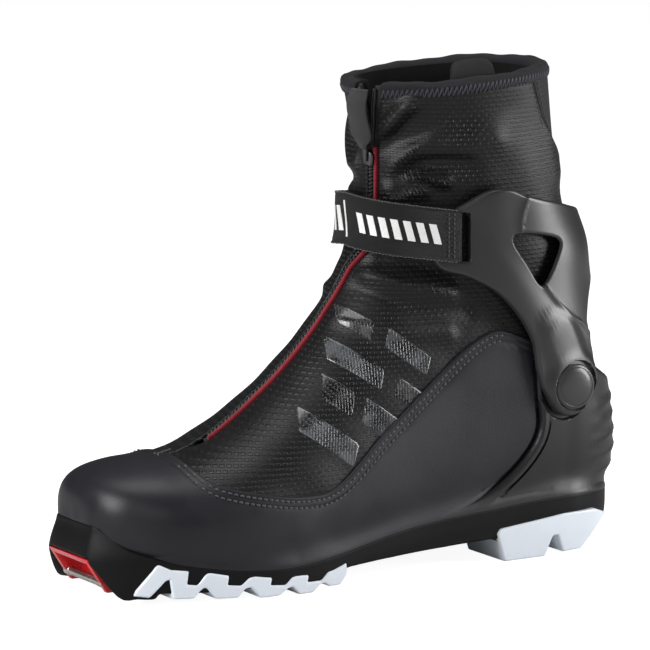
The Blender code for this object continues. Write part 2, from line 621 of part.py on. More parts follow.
def build_counter():
    """Moulded heel counter that carries the ankle pivots."""
    ob = tube("heel_counter", even(8, 16, 9), COUNTER, "counter_black")
    boolean(ob, prism("counter_area", counter_outline(), -HALF_SPAN, HALF_SPAN), "INTERSECT")
    boolean(ob, cutters.objects["pivot_hole"], "DIFFERENCE")


def build_liner(cut):
    """Padded lining in two pieces that part at the ankle, and the insole under the foot."""
    foot = sock("liner_foot", [1.5] + even(2, 16, 15), LINER, "liner_grey")
    boolean(foot, cut["foot_area"], "INTERSECT")
    collar = tube("liner_collar", even(9, 19, 11), LINER, "liner_grey")
    boolean(collar, cut["collar_area"], "INTERSECT")
    u, phi = np.meshgrid(even(3, 12, 10), np.arange(-4, 5) * ROUND / AROUND, indexing="ij")
    shell("insole", skin(u, phi, np.full(u.shape, INSOLE[1])), skin(u, phi, np.full(u.shape, INSOLE[0])),
          "insole_grey")


def build_zip(cut):
    """Coil, tapes and red piping along the front, each in a foot and a collar length."""
    low = even(ZIP_START, 12, 7)
    high = even(9, LAST_END, 11)
    closed = [u for u in high if u < ZIP_TOP]
    for part, sections, shut, area in (("instep", low, low, "foot_area"), ("collar", high, closed, "collar_area")):
        chain = strip(f"zip_coil_{part}", shut, CHAIN_HALF, -CHAIN_HALF, CHAIN, "coil_black")
        piping = strip(f"piping_{part}", shut, PIPING_SPAN[1], PIPING_SPAN[0], PIPING, "piping_red")
        pieces = [chain, piping]
        for label, side in (("lateral", 1), ("medial", -1)):
            far = [side * (zip_gap(u, TAPE_OUT)) for u in sections]
            near = [side * (zip_gap(u, SEAM)) for u in sections]
            pieces.append(strip(f"zip_tape_{part}_{label}", sections, far, near, TAPE, "tape_black"))
        for piece in pieces:
            boolean(piece, cut[area], "INTERSECT")


def rim_frame(phi):
    """Point of the collar rim and the direction of the fabric there."""
    u = np.full(np.shape(phi), LAST_END)
    base = last_point(u, phi)
    slope = base - last_point(u - 0.05, phi)
    return slope / np.linalg.norm(slope, axis=-1, keepdims=True)


def build_binding():
    """Overlocked binding folded over the rim, open at the zip."""
    start = float(zip_phi(LAST_END, OUTER_EDGE + COLLAR_SPREAD))
    stop = float(zip_phi(LAST_END, -INNER_EDGE - COLLAR_SPREAD)) - ROUND
    profile = [(1.5, -5.0), (1.5, 1.4), (-7.5, 1.4), (-7.5, -5.0), (-6.4, -5.0), (-6.4, 0.4), (0.4, 0.4), (0.4, -5.0)]
    loops = []
    for phi in even(start, stop, 36):
        slope = rim_frame(np.array(phi))
        loops.append([skin(LAST_END, phi, lift) + slope * height for lift, height in profile])
    sweep("collar_binding", loops, "binding")


def build_pull_tab():
    """Rounded pull tab standing up inside the outer wall of the collar."""
    phi = np.linspace(1.72, 1.02, 9)
    top = 10.5 * np.sqrt(np.clip(1 - np.linspace(-0.98, 0.98, 9) ** 4, 0, 1))
    rows = 6
    outside = []
    inside = []
    for k in range(rows):
        height = -26 + (top + 26) * k / (rows - 1)
        slope = rim_frame(phi)
        u = np.full(phi.shape, LAST_END)
        outside.append(skin(u, phi, np.full(phi.shape, -8.1)) + slope * height[:, None])
        inside.append(skin(u, phi, np.full(phi.shape, -9.7)) + slope * height[:, None])
    shell("pull_tab", np.array(outside), np.array(inside), "tab_grey")


def build_slider():
    """Zip slider, its bail and the folded ribbon that pulls it."""
    strip("zip_slider", even(13.75, 14.35, 3), 3.2, -3.2, (1.4, 3.6), "slider_metal")
    strip("zip_pull_bail", even(14.15, 14.7, 3), 1.7, -1.7, (3.9, 5.0), "slider_metal")
    half = 6.0
    path = [(14.85, 5.4), (15.6, 6.4), (16.8, 6.8), (18.2, 4.4)]
    loops = []
    for u, lift in path:
        low = float(zip_phi(u, half))
        high = float(zip_phi(u, -half))
        loops.append([skin(u, low, lift), skin(u, high, lift), skin(u, high, lift + 1.2), skin(u, low, lift + 1.2)])
    sweep("zip_pull_ribbon", loops, "ribbon_grey")


def cuff_lift(u, phi, lift, free=0.0):
    """Lift of the cuff, standing further off at the spoiler behind the heel and, by free, over the counter."""
    at = last_point(u, phi)
    low = np.clip((ARM_TOP - at[..., 2]) / ARM_FADE, 0, 1)
    lift = lift + free * low * low * (3 - 2 * low)
    rear = np.clip((at[..., 0] - 88.0) / 30.0, 0, 1)
    rear = rear * rear * (3 - 2 * rear)
    return lift + 2.4 * rear * np.exp(-((at[..., 2] - 150.0) / 14.0) ** 2)


def build_cuff():
    """Plastic cuff: two arms from the pivots, wings with strap slots, and a spoiler joining them behind."""
    u, phi = np.meshgrid(even(8.5, 18.5, 15), np.arange(AROUND) * ROUND / AROUND, indexing="ij")
    inside = skin(u, phi, cuff_lift(u, phi, CUFF[0], ARM_FREE))
    ob = shell("cuff", skin(u, phi, cuff_lift(u, phi, CUFF[1])), inside, "cuff_grey", ring=True)
    boolean(ob, prism("cuff_area", CUFF_EDGE, -HALF_SPAN, HALF_SPAN), "INTERSECT")
    boolean(ob, prism("cuff_window", smooth(WINDOW, 3, closed=True), -HALF_SPAN, HALF_SPAN), "DIFFERENCE")
    boolean(ob, prism("strap_slot", SLOT, -HALF_SPAN, HALF_SPAN), "DIFFERENCE")
    boolean(ob, cutters.objects["pivot_hole"], "DIFFERENCE")


def build_pivots():
    """One headed pin a side, through the cuff arm and the heel counter."""
    for label, sign in (("lateral", -1), ("medial", 1)):
        lathe_y(f"pivot_cap_{label}", PIVOT_X, PIVOT_Z,
                     [(PIVOT_DEEP, 0.0), (PIVOT_DEEP, PIVOT_SHAFT), (PIVOT_UNDER, PIVOT_SHAFT),
                      (PIVOT_UNDER, PIVOT_HEAD), (PIVOT_UNDER + 1.2, PIVOT_HEAD),
                      (PIVOT_UNDER + 2.0, PIVOT_HEAD - 2.0), (PIVOT_UNDER + 2.5, 0.0)], sign, "cap_grey")


def lathe_y(name, x, z, profile, sign, slot, sides=PIVOT_SIDES):
    """Body of revolution about a line along Y; profile is distance out and radius."""
    loops = []
    for y, radius in profile:
        if radius == 0.0:
            loops.append([np.array((x, sign * y, z))])
        else:
            loops.append([np.array((x + radius * math.cos(ROUND * k / sides), sign * y,
                                    z + radius * math.sin(ROUND * k / sides))) for k in range(sides)])
    verts = [p for loop in loops for p in loop]
    faces = []
    base = 0
    for now, after in zip(loops, loops[1:]):
        for k in range(sides):
            m = (k + 1) % sides
            if len(now) == 1:
                faces.append((base, base + 1 + k, base + 1 + m))
            elif len(after) == 1:
                faces.append((base + k, base + m, base + sides))
            else:
                faces.append((base + k, base + m, base + sides + m, base + sides + k))
        base += len(now)
    return write_mesh(name, verts, faces, slot, parts)


def build_strap():
    """Ankle strap from the outer slot round the front to the inner side of the cuff."""
    grids = [collar_grid(lift) for lift in STRAP]
    loops = []
    for k in range(STRAP_STEPS):
        turn = STRAP_OUTER + (STRAP_INNER - STRAP_OUTER) * k / (STRAP_STEPS - 1)
        middle = STRAP_FRONT_Z - STRAP_DROP * abs(turn - math.pi) / (STRAP_OUTER - math.pi)
        near, far = grids
        loops.append([level(near, turn, middle - STRAP_HALF), level(near, turn, middle + STRAP_HALF),
                      level(far, turn, middle + STRAP_HALF), level(far, turn, middle - STRAP_HALF)])
    sweep("strap_flap", loops, "strap_black")


clear_scene()
parts = new_collection(BOOT)
cutters = new_collection(CUTTERS)
trims = shared_cutters()
rod("pivot_hole", PIVOT_X, PIVOT_Z, -HALF_SPAN, HALF_SPAN, PIVOT_SHAFT + PIVOT_PLAY)
build_outsole(trims)
build_treads(trims)
build_toe_fitting()
build_softshell(trims)
build_wrap(trims)
build_counter()
build_liner(trims)
build_zip(trims)
build_binding()
build_pull_tab()
build_slider()
build_cuff()
build_pivots()
build_strap()
for cutter_ob in cutters.objects:
    cutter_ob.hide_render = True
    cutter_ob.display_type = "WIRE"
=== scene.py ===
"""Looks of the cross country ski boot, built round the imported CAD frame.

Every piece follows the boot's last, a surface given by two parameters: u runs from the toe (0) round the
instep to the collar rim (19), and phi runs round each section from the sole (0) by the outer side (pi / 2)
and the top ridge (pi) to the inner side. Points are in millimetres on the last, and put() scales them.
"""
import math

import bmesh
import bpy
import numpy as np
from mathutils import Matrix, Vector


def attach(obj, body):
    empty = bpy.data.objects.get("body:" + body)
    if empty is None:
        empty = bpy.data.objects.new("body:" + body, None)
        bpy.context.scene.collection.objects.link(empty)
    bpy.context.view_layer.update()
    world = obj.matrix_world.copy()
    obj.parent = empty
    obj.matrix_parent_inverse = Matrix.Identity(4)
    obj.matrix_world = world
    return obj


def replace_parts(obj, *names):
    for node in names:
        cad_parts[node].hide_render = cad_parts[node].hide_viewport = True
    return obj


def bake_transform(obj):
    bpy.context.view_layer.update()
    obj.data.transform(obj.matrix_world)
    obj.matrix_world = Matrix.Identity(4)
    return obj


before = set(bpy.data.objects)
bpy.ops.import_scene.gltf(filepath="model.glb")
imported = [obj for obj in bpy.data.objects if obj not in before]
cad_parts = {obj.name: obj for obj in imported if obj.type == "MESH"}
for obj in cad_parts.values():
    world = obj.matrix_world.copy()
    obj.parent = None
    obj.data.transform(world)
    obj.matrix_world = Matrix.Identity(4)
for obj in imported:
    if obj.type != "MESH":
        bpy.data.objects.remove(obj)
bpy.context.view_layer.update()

MM = 0.001
SHIFT = np.array((1.75, 1.5, 0.0))
ROUND = 2.0 * math.pi

# Sections of the last: sole x, sole z, top x, top z, outer half, inner half, height of the widest line,
# squareness of the lower half, squareness of the upper half.
LAST = np.array([
    (-144.5, 30, -145.0, 42.0, 3.0, 3.0, 0.50, 2.6, 2.4),
    (-143.0, 24, -144.3, 49.0, 15.0, 14.0, 0.48, 3.0, 2.4),
    (-139.5, 21, -140.5, 54.5, 25.0, 25.0, 0.46, 3.2, 2.5),
    (-132.0, 19, -132.0, 58.0, 34.0, 33.5, 0.44, 3.3, 2.5),
    (-120.0, 16, -119.0, 60.0, 41.5, 39.5, 0.42, 3.3, 2.5),
    (-101.0, 13, -101.0, 61.5, 46.5, 44.0, 0.40, 3.3, 2.4),
    (-75.0, 11, -77.0, 68.5, 49.0, 46.0, 0.38, 3.3, 2.3),
    (-44.0, 11.5, -49.5, 85.5, 48.0, 45.0, 0.36, 3.3, 2.2),
    (-10.0, 14, -27.0, 105.5, 45.0, 42.0, 0.36, 3.2, 2.15),
    (26.0, 16, -9.0, 127.0, 42.0, 40.0, 0.38, 3.1, 2.1),
    (62.0, 17, 1.5, 147.0, 40.0, 38.0, 0.40, 3.0, 2.1),
    (98.0, 18, 6.5, 163.0, 39.0, 37.5, 0.42, 2.9, 2.1),
    (126.0, 21, 8.5, 176.0, 38.5, 37.0, 0.44, 2.6, 2.1),
    (141.0, 37, 8.5, 187.0, 38.5, 37.0, 0.46, 2.3, 2.1),
    (141.5, 62, 8.5, 197.0, 38.0, 37.0, 0.47, 2.2, 2.1),
    (136.5, 90, 8.0, 206.0, 37.5, 37.0, 0.48, 2.2, 2.1),
    (129.0, 122, 7.5, 214.0, 38.0, 37.5, 0.50, 2.2, 2.15),
    (119.5, 156, 6.5, 221.0, 39.0, 38.5, 0.50, 2.2, 2.15),
    (111.5, 192, 6.0, 226.5, 40.0, 39.5, 0.50, 2.2, 2.2),
    (105.5, 238, 5.0, 230.5, 41.0, 40.5, 0.50, 2.3, 2.2),
])
LAST_END = len(LAST) - 1.0
NOSE_BULGE = 0.15
BOND_INSET = 0.6
BOND_HEIGHT = 15.0
NOSE_LEAN = 4.4
HEEL_LEAN = 5.0

# Grid lines of the wrap ahead of the first section, where the sections close over the tip of the toe.
NOSE_TIP = [-0.999, -0.9, -0.8, -0.6, -0.4, -0.2]

# Layers, as distances out from the last.
LINER = (-6.0, -3.2)
INSOLE = (-9.0, -6.3)
WRAP = (0.25, 1.7)
COUNTER = (1.9, 4.2)
CUFF = (4.7, 7.3)
STRAP = (7.8, 9.4)

# Zip.
ZIP_START = 6.0
ZIP_TOP = 14.4
ZIP_LINE = [(0, 0.0), (6, 0.0), (7, 0.06), (9, 0.05), (9.8, -0.02), (10.5, -0.18), (19, -0.19)]
OUTER_EDGE = 4.5
INNER_EDGE = 1.9
COLLAR_SPREAD = 5.0

# Ankle pivot.
PIVOT_X = 101.5
PIVOT_Z = 83.4

# Side view outlines, x and z.
WRAP_EDGE = [(-92, 66.5), (-98, 61), (-94, 54), (-75, 49), (-49, 45.7), (-31, 49), (-7, 67.5),
             (16.5, 85), (37.5, 101), (52, 110), (62.5, 113), (74, 110)]
COUNTER_EDGE = [(29.5, 26), (52, 33), (68, 42), (80.5, 54), (85.5, 65), (84, 80), (83, 96)]
COUNTER_BACK = [(100, 97), (108, 95), (120, 90), (132, 83), (150, 79), (200, 79)]
CUFF_EDGE = [(30, 148), (31, 160), (37.5, 170), (43, 175), (54, 181.5), (65, 182), (76, 177), (97, 171),
             (118, 164), (150, 160), (152, 134), (128, 133), (117, 125), (113, 108), (115.5, 94), (114, 80),
             (104, 69.5), (93, 70.5), (85.5, 81), (81, 93), (78.5, 106), (71, 119), (60, 131), (45, 140),
             (34, 143)]
WINDOW = [(68, 159), (93, 155), (93, 146), (84, 133), (76, 143)]
SLOT = [(40.6, 148), (46.0, 148), (46.0, 171), (40.6, 171)]
REAR_PANEL = [(80, 250), (82, 232), (90, 214), (100, 200), (112, 186), (150, 172), (150, 250)]
FOOT_AREA = [(-200, -60), (240, -60), (240, 96), (150, 92), (98, 86.5), (3, 153), (-40, 183), (-200, 183)]
RAND = [(-158, 37), (-150, 36.5), (-143, 32.5), (-136, 27), (-124, 22.5), (-109.5, 19), (-83, 15),
        (-56, 13.8), (-29, 16.8), (4, 22.6), (32, 25.4), (63, 27.2), (95, 29), (118, 28.5), (156, 25)]
SOLE_UNDER = [(156, 17), (128, 12), (66, 10), (57, 11.5), (-24, 9), (-28, 6), (-50, 4.5), (-80, 5.5),
              (-110, 5.5), (-123, 6), (-126, 3.6), (-133, 3.6), (-141, 4.6), (-153.5, 24)]
SOLE_PLAN_OUTER = [(-151.5, 0), (-151.4, 13), (-150, 20.4), (-143, 29), (-132.5, 37), (-118, 43.5),
                   (-96, 49), (-70, 51.5), (-45, 50.5), (-15, 46.5), (20, 42.5), (60, 40.5), (100, 39.5),
                   (124, 36), (138, 28), (145.5, 16), (148, 0)]
SOLE_PLAN_INNER = [(-151.5, 0), (-151.4, 13), (-150, 20.4), (-143, 29), (-132.5, 36.5), (-118, 42),
                   (-96, 46.5), (-70, 48.5), (-45, 47.5), (-15, 43.5), (20, 40.5), (60, 38.5), (100, 38),
                   (124, 35), (138, 27.5), (145.5, 16), (148, 0)]
FRONT_TREAD = [(-134.5, 5.5), (-133.6, 8), (-125, 20), (-124, 20), (-119, 17.5), (-111, 16.5), (-111.8, 10.2),
               (-107, 9.6), (-103, 14.6), (-101, 15), (-92, 13), (-92.6, 8.6), (-86, 7.8), (-82, 11),
               (-79, 11.4), (-70, 9.9), (-70.8, 6.5), (-63, 5.6), (-59.5, 8.8), (-57, 9.2), (-50, 8.9),
               (-50.6, 5.5), (-43, 5.2), (-39, 8.8), (-36, 9.2), (-28, 11.6), (-27.6, 6.5), (-31.5, 1.6),
               (-38, 1.6), (-41, 3.9), (-44, 3.2), (-47, 0), (-55, 0), (-59, 4.4), (-62, 3.6), (-66, 0.8),
               (-76, 0.9), (-81, 6.3), (-84, 5.9), (-87, 2.2), (-98, 2.4), (-103, 8.2), (-105, 7.6),
               (-108.5, 3.4), (-118, 3.6), (-119.6, 13), (-121.4, 12.4), (-128, 4.6)]
HEEL_TREAD = [(61.5, 14), (63, 16.4), (101, 20), (120, 20), (128, 17), (111.5, 1.2), (100.5, 1), (97, 9.8),
              (94, 9.8), (89.5, 0), (66, 0), (65.2, 2)]
TREAD_INNER = 17.0
HEEL_INNER = 8.0
TREAD_NODES = {"tread_lugs_outer": "tread_front_lateral", "tread_lugs_inner": "tread_front_medial",
               "tread_heel_outer": "tread_heel"}
NOSE_ROOF = [(-170, 21.35), (-147.4, 21.35), (-139.4, 17.35), (-130.7, 15.15), (-130.7, -4), (-170, -4)]
NOSE_HALF = 19.3
INSERT = [(-150.2, 21), (-147.5, 21), (-139.5, 17), (-131, 14.8), (-131, 4.4), (-139.4, 4.4)]
INSERT_HALF = 19.0
INSERT_BAY = [(-170, 18.4), (-148, 18.4), (-140, 14.6), (-134, 13), (-134, -4), (-170, -4)]
BAY_HALF = 16.0
BAR_X = -140.5
BAR_Z = 9.0

# One stitch: share of its length, share of its radius, rise in radii.
STITCH = ((0.0, 0.35, -0.5), (0.18, 0.9, 0.25), (0.5, 1.0, 0.55), (0.82, 0.9, 0.25), (1.0, 0.35, -0.5))
STITCH_TURNS = [ROUND * k / 6 for k in range(6)]


# ---------------------------------------------------------------- the last and other base surfaces

def spline(p0, p1, p2, p3, f):
    """Catmull-Rom point between p1 and p2."""
    return 0.5 * (2 * p1 + (p2 - p0) * f + (2 * p0 - 5 * p1 + 4 * p2 - p3) * f ** 2
                  + (3 * p1 - p0 - 3 * p2 + p3) * f ** 3)


def section(u):
    """Section values at u, by a spline through the LAST rows."""
    u = np.clip(np.asarray(u, float), 0.0, LAST_END)
    final = len(LAST) - 2
    i = np.minimum(u.astype(int), final)
    p1, p2 = LAST[i], LAST[i + 1]
    p0 = np.where((i == 0)[..., None], 2 * p1 - p2, LAST[np.maximum(i - 1, 0)])
    p3 = np.where((i == final)[..., None], 2 * p2 - p1, LAST[np.minimum(i + 2, final + 1)])
    return spline(p0, p1, p2, p3, (u - i)[..., None])


def last_point(u, phi):
    """Point of the last; below 0 the sections close over the tip of the toe."""
    u, phi = np.broadcast_arrays(np.asarray(u, float), np.asarray(phi, float))
    bx, bz, tx, tz, outer, inner, wide, low_n, up_n = np.moveaxis(section(u), -1, 0)
    low = np.cos(phi) > 0
    power = 2.0 / np.where(low, low_n, up_n)
    rise = np.abs(np.cos(phi)) ** power
    part = np.where(low, wide * (1 - rise), wide + (1 - wide) * rise)
    y = np.where(np.sin(phi) >= 0, -outer, inner) * np.abs(np.sin(phi)) ** power
    shut = np.clip(-u, 0, 1)
    part = wide + (part - wide) * (1 - shut)
    x = bx + (tx - bx) * part - NOSE_BULGE * (1 - (1 - shut) ** 2)
    return np.stack([x, y * (1 - shut), bz + (tz - bz) * part], -1)


def unit(v):
    return v / np.maximum(np.linalg.norm(v, axis=-1, keepdims=True), 1e-9)


def normal_at(u, phi):
    u, phi = np.broadcast_arrays(np.asarray(u, float), np.asarray(phi, float))
    step = 1e-3
    along = last_point(np.minimum(u + step, LAST_END), phi) - last_point(np.maximum(u - step, -1), phi)
    across = last_point(u, phi + 0.04) - last_point(u, phi - 0.04)
    normal = unit(np.cross(across, along))
    centre = 0.5 * (last_point(u, np.zeros_like(phi)) + last_point(u, np.full_like(phi, math.pi)))
    outward = np.where(u[..., None] < -0.1, (-1.0, 0.0, 0.0), last_point(u, phi) - centre)
    return normal * np.sign(np.sum(normal * outward, -1, keepdims=True))


def skin(u, phi, lift):
    """Point standing off the last by lift, along its outward normal."""
    return last_point(u, phi) + normal_at(u, phi) * np.asarray(lift, float)[..., None]


def skin_round(u, phi, lift):
    """skin() for directions below zero too."""
    return skin(u, phi % ROUND, lift)


def smooth(points, count, closed=False):
    """Curve through points, count steps to a span."""
    pts = np.array(points, float)
    size = len(pts)
    steps = (np.arange(count) / count)[:, None]
    out = []
    for i in range(size if closed else size - 1):
        near = [(i + k) % size if closed else min(max(i + k, 0), size - 1) for k in (-1, 0, 1, 2)]
        out.append(spline(*pts[near], steps))
    if not closed:
        out.append(pts[-1:])
    return np.vstack(out)


def run_length(points):
    """Distance along a line to each of its points."""
    return np.concatenate([[0], np.cumsum(np.linalg.norm(np.diff(points, axis=0), axis=1))])


def ring_lines(first, final, step):
    """Section parameters about step millimetres apart."""
    fine = np.linspace(first, final, 900)
    sole = np.linalg.norm(np.diff(last_point(fine, 0.0), axis=0), axis=1)
    top = np.linalg.norm(np.diff(last_point(fine, math.pi), axis=0), axis=1)
    run = np.concatenate([[0], np.cumsum(np.maximum(0.6 * sole, top))])
    return np.interp(np.linspace(0, run[-1], max(3, int(run[-1] / step))), run, fine)


def turns(low, high, step):
    """Directions round a section about step radians apart."""
    return np.linspace(low, high, max(3, int(round((high - low) / step)) + 1))


def zip_centre(u):
    return math.pi + np.interp(u, *np.array(ZIP_LINE).T)


def zip_size(u):
    """Millimetres to a radian beside the zip."""
    centre = zip_centre(u)
    return np.linalg.norm(last_point(u, centre + 0.05) - last_point(u, centre - 0.05), axis=-1) / 0.1


def zip_phi(u, away):
    """Direction at u that is away millimetres to the outer side of the zip."""
    return zip_centre(u) - away / zip_size(u)


def spread(u):
    """How far the collar edges part above the slider."""
    return COLLAR_SPREAD * np.maximum(0.0, np.asarray(u, float) - ZIP_TOP) / (LAST_END - ZIP_TOP)


# ---------------------------------------------------------------- outlines and patches

def from_span(pts, x0, z0, x1, z1):
    """Distance from each point to a straight span."""
    dx, dz = x1 - x0, z1 - z0
    t = np.clip(((pts[:, 0] - x0) * dx + (pts[:, 1] - z0) * dz) / max(dx * dx + dz * dz, 1e-12), 0, 1)
    return np.hypot(pts[:, 0] - x0 - t * dx, pts[:, 1] - z0 - t * dz)


def within(points, outline):
    """Signed distance from each point to a closed outline, positive inside."""
    pts = np.asarray(points, float)
    line = np.asarray(outline, float)
    best = np.full(len(pts), np.inf)
    inside = np.zeros(len(pts), bool)
    for (x0, z0), (x1, z1) in zip(line, np.roll(line, -1, 0)):
        best = np.minimum(best, from_span(pts, x0, z0, x1, z1))
        if z0 != z1:
            crosses = (z0 > pts[:, 1]) != (z1 > pts[:, 1])
            inside ^= crosses & (pts[:, 0] < (x1 - x0) * (pts[:, 1] - z0) / (z1 - z0) + x0)
    return np.where(inside, best, -best)


def from_line(points, line):
    """Distance from each point to an open line."""
    pts = np.asarray(points, float)
    return np.min([from_span(pts, *p, *q) for p, q in zip(line[:-1], line[1:])], axis=0)


def fade(x, low, high):
    """0 below low, 1 above high, smooth between."""
    t = np.clip((np.asarray(x, float) - low) / (high - low), 0, 1)
    return t * t * (3 - 2 * t)


def hump(x, width):
    return np.exp(-(np.asarray(x, float) / width) ** 2)


def edge_round(d, radius):
    """Share of full thickness at a distance d in from a rounded edge."""
    t = 1 - np.clip(np.asarray(d, float) / radius, 0, 1)
    return np.sqrt(np.clip(1 - t * t, 0, 1))


class Patch:
    """Triangles over two parameters. Further columns carry distances that the patch is cut along."""

    def __init__(self, a, b):
        aa, bb = np.meshgrid(a, b, indexing="ij")
        self.data = np.stack([aa.ravel(), bb.ravel()], 1)
        n = len(b)
        i, j = np.meshgrid(np.arange(len(a) - 1), np.arange(n - 1), indexing="ij")
        c = (i * n + j).ravel()
        self.tris = np.concatenate([np.stack([c, c + 1, c + n + 1], 1), np.stack([c, c + n + 1, c + n], 1)])

    def add(self, values):
        self.data = np.column_stack([self.data, np.broadcast_to(values, (len(self.data),))])
        return self.data.shape[1] - 1

    def split(self, column, *levels):
        """Puts vertices on the lines where a column has these values."""
        for level in levels:
            values = self.data[:, column]
            values[np.abs(values - level) < 1e-4] = level + 1e-4
            over = values > level
            count = over[self.tris].sum(1)
            cut = (count == 1) | (count == 2)
            if not cut.any():
                continue
            t = self.tris[cut]
            lone = np.where(count[cut] == 1, np.argmax(over[t], 1), np.argmax(~over[t], 1))
            rows = np.arange(len(t))
            t = np.stack([t[rows, (lone + k) % 3] for k in range(3)], 1)
            pairs, where = np.unique(np.sort(np.concatenate([t[:, [0, 1]], t[:, [0, 2]]]), 1), axis=0,
                                     return_inverse=True)
            where = where.reshape(-1) + len(self.data)
            v0, v1 = values[pairs[:, 0]], values[pairs[:, 1]]
            f = ((level - v0) / (v1 - v0))[:, None]
            fresh = self.data[pairs[:, 0]] * (1 - f) + self.data[pairs[:, 1]] * f
            fresh[:, column] = level
            p, q = where[:len(t)], where[len(t):]
            self.data = np.vstack([self.data, fresh])
            self.tris = np.concatenate([self.tris[~cut], np.stack([t[:, 0], p, q], 1),
                                        np.stack([p, t[:, 1], t[:, 2]], 1), np.stack([p, t[:, 2], q], 1)])

    def keep(self, column, level=0.0, above=True):
        """Cuts along a level and keeps one side."""
        self.split(column, level)
        middle = self.data[self.tris, column].mean(1)
        self.tris = self.tris[(middle > level) == above]
        used, index = np.unique(self.tris, return_inverse=True)
        self.data = self.data[used]
        self.tris = index.reshape(-1, 3)

    def __getitem__(self, column):
        return self.data[:, column]

    def at(self):
        """Points of the last under the patch."""
        return last_point(self[0], self[1] % ROUND)

    def side(self):
        """Those points in side view."""
        return self.at()[:, [0, 2]]


def closed_between(top, under, tris):
    """Points and faces of the body between two point sets over the same triangles."""
    n = len(top)
    edges = np.concatenate([tris[:, [0, 1]], tris[:, [1, 2]], tris[:, [2, 0]]])
    key = np.sort(edges, 1)
    _, first, count = np.unique(key, axis=0, return_index=True, return_counts=True)
    rim = edges[first[count == 1]]
    walls = np.concatenate([np.stack([rim[:, 1], rim[:, 0], rim[:, 0] + n], 1),
                            np.stack([rim[:, 1], rim[:, 0] + n, rim[:, 1] + n], 1)])
    faces = np.concatenate([tris, tris[:, ::-1] + n, walls])
    return np.vstack([top, under]), faces


# ---------------------------------------------------------------- making objects

def add_object(name, data):
    ob = bpy.data.objects.new(name, data)
    bpy.context.scene.collection.objects.link(ob)
    return ob


def put(name, verts, faces, finish, body=None, slot=None, weave=None, sharp=50.0, weld=2e-6):
    """Smooth shaded mesh object from millimetre points; weave holds the cloth's own coordinates in mm."""
    verts = (np.asarray(verts, float) + SHIFT) * MM
    mesh = bpy.data.meshes.new(name)
    mesh.from_pydata(verts.tolist(), [], [tuple(int(k) for k in f) for f in faces])
    if weave is not None:
        data = np.zeros((len(verts), 3))
        data[:, :2] = weave
        mesh.attributes.new("weave", "FLOAT_VECTOR", "POINT").data.foreach_set("vector", data.ravel())
    ob = add_object(name, mesh)
    bm = bmesh.new()
    bm.from_mesh(mesh)
    bmesh.ops.remove_doubles(bm, verts=bm.verts, dist=weld)
    bmesh.ops.dissolve_degenerate(bm, edges=bm.edges, dist=weld)
    bmesh.ops.recalc_face_normals(bm, faces=bm.faces)
    bm.to_mesh(mesh)
    bm.free()
    finish_mesh(mesh, finish, sharp)
    if body:
        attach(ob, body)
    return ob


def finish_mesh(mesh, finish, sharp):
    """Smooth shading with edges kept sharp above an angle in degrees, and the material."""
    mesh.polygons.foreach_set("use_smooth", [True] * len(mesh.polygons))
    mesh.set_sharp_from_angle(angle=math.radians(sharp))
    mesh.materials.clear()
    mesh.materials.append(finish)


def bend(ob):
    """Bakes a piece's transform into its mesh."""
    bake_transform(ob)
    return ob


# Level rows of dashes: lean of the columns round the toe and the heel, middle and width of the change, and half
# width of the boot there, in millimetres.
LEVEL_LEAN = 0.6
LEVEL_MIDDLE = 55
LEVEL_SPAN = 22
LEVEL_HALF = 38


def cloth_coords(u, phi):
    """Millimetres round the last and along it, for weaves."""
    lines = np.linspace(-1, LAST_END, 120)
    ways = np.linspace(0, ROUND, 121)
    uu, pp = np.meshgrid(lines, ways, indexing="ij")
    pts = last_point(uu, pp)
    across = np.cumsum(np.linalg.norm(np.diff(pts, axis=1, prepend=pts[:, :1]), axis=-1), axis=1)
    across -= across[:, 30:31]
    along = np.cumsum(np.linalg.norm(np.diff(pts, axis=0, prepend=pts[:1]), axis=-1), axis=0)
    return np.stack([bilinear(across, lines, ways, u, phi), bilinear(along, lines, ways, u, phi)], 1)


def bilinear(grid, xs, ys, x, y):
    fx = np.clip((x - xs[0]) / (xs[1] - xs[0]), 0, len(xs) - 1.001)
    fy = np.clip((y - ys[0]) / (ys[1] - ys[0]), 0, len(ys) - 1.001)
    i, j = fx.astype(int), fy.astype(int)
    fx, fy = fx - i, fy - j
    return ((grid[i, j] * (1 - fx) + grid[i + 1, j] * fx) * (1 - fy)
            + (grid[i, j + 1] * (1 - fx) + grid[i + 1, j + 1] * fx) * fy)


def level_coords(points):
    """Cloth coordinates with level rows: distance round the boot, and height."""
    x, y, z = points.T
    lean = -LEVEL_LEAN * np.tanh((x - LEVEL_MIDDLE) / LEVEL_SPAN)
    return np.column_stack([x + lean * (np.abs(y) - LEVEL_HALF), z])


def layer(name, patch, top, under, finish, slot, body=None, place=skin, level=False, **more):
    """Closed layer over a patch, from lift under to lift top."""
    a, b = patch[0], patch[1]
    high = place(a, b, np.broadcast_to(top, a.shape))
    low = place(a, b, np.broadcast_to(under, a.shape))
    _, first, index = np.unique(np.round(high, 3), axis=0, return_index=True, return_inverse=True)
    tris = index.reshape(-1)[patch.tris]
    verts, faces = closed_between(high[first], low[first], tris)
    if level:
        coords = level_coords(high)[first]
    else:
        coords = (high[:, [0, 2]] if place is wall else cloth_coords(a, b % ROUND))[first]
    return put(name, verts, faces, finish, body, slot, weave=np.vstack([coords, coords]), **more)


def loft(rings):
    """Verts and faces of a body carried through rings of points, closed by flat ends."""
    rings = np.asarray(rings, float)
    n, count = rings.shape[:2]
    faces = [tuple(range(count)), tuple(range((n - 1) * count, n * count))]
    for i in range(0, (n - 1) * count, count):
        for k in range(count):
            m = (k + 1) % count
            faces.append((i + k, i + m, i + count + m, i + count + k))
    return rings.reshape(-1, 3), faces


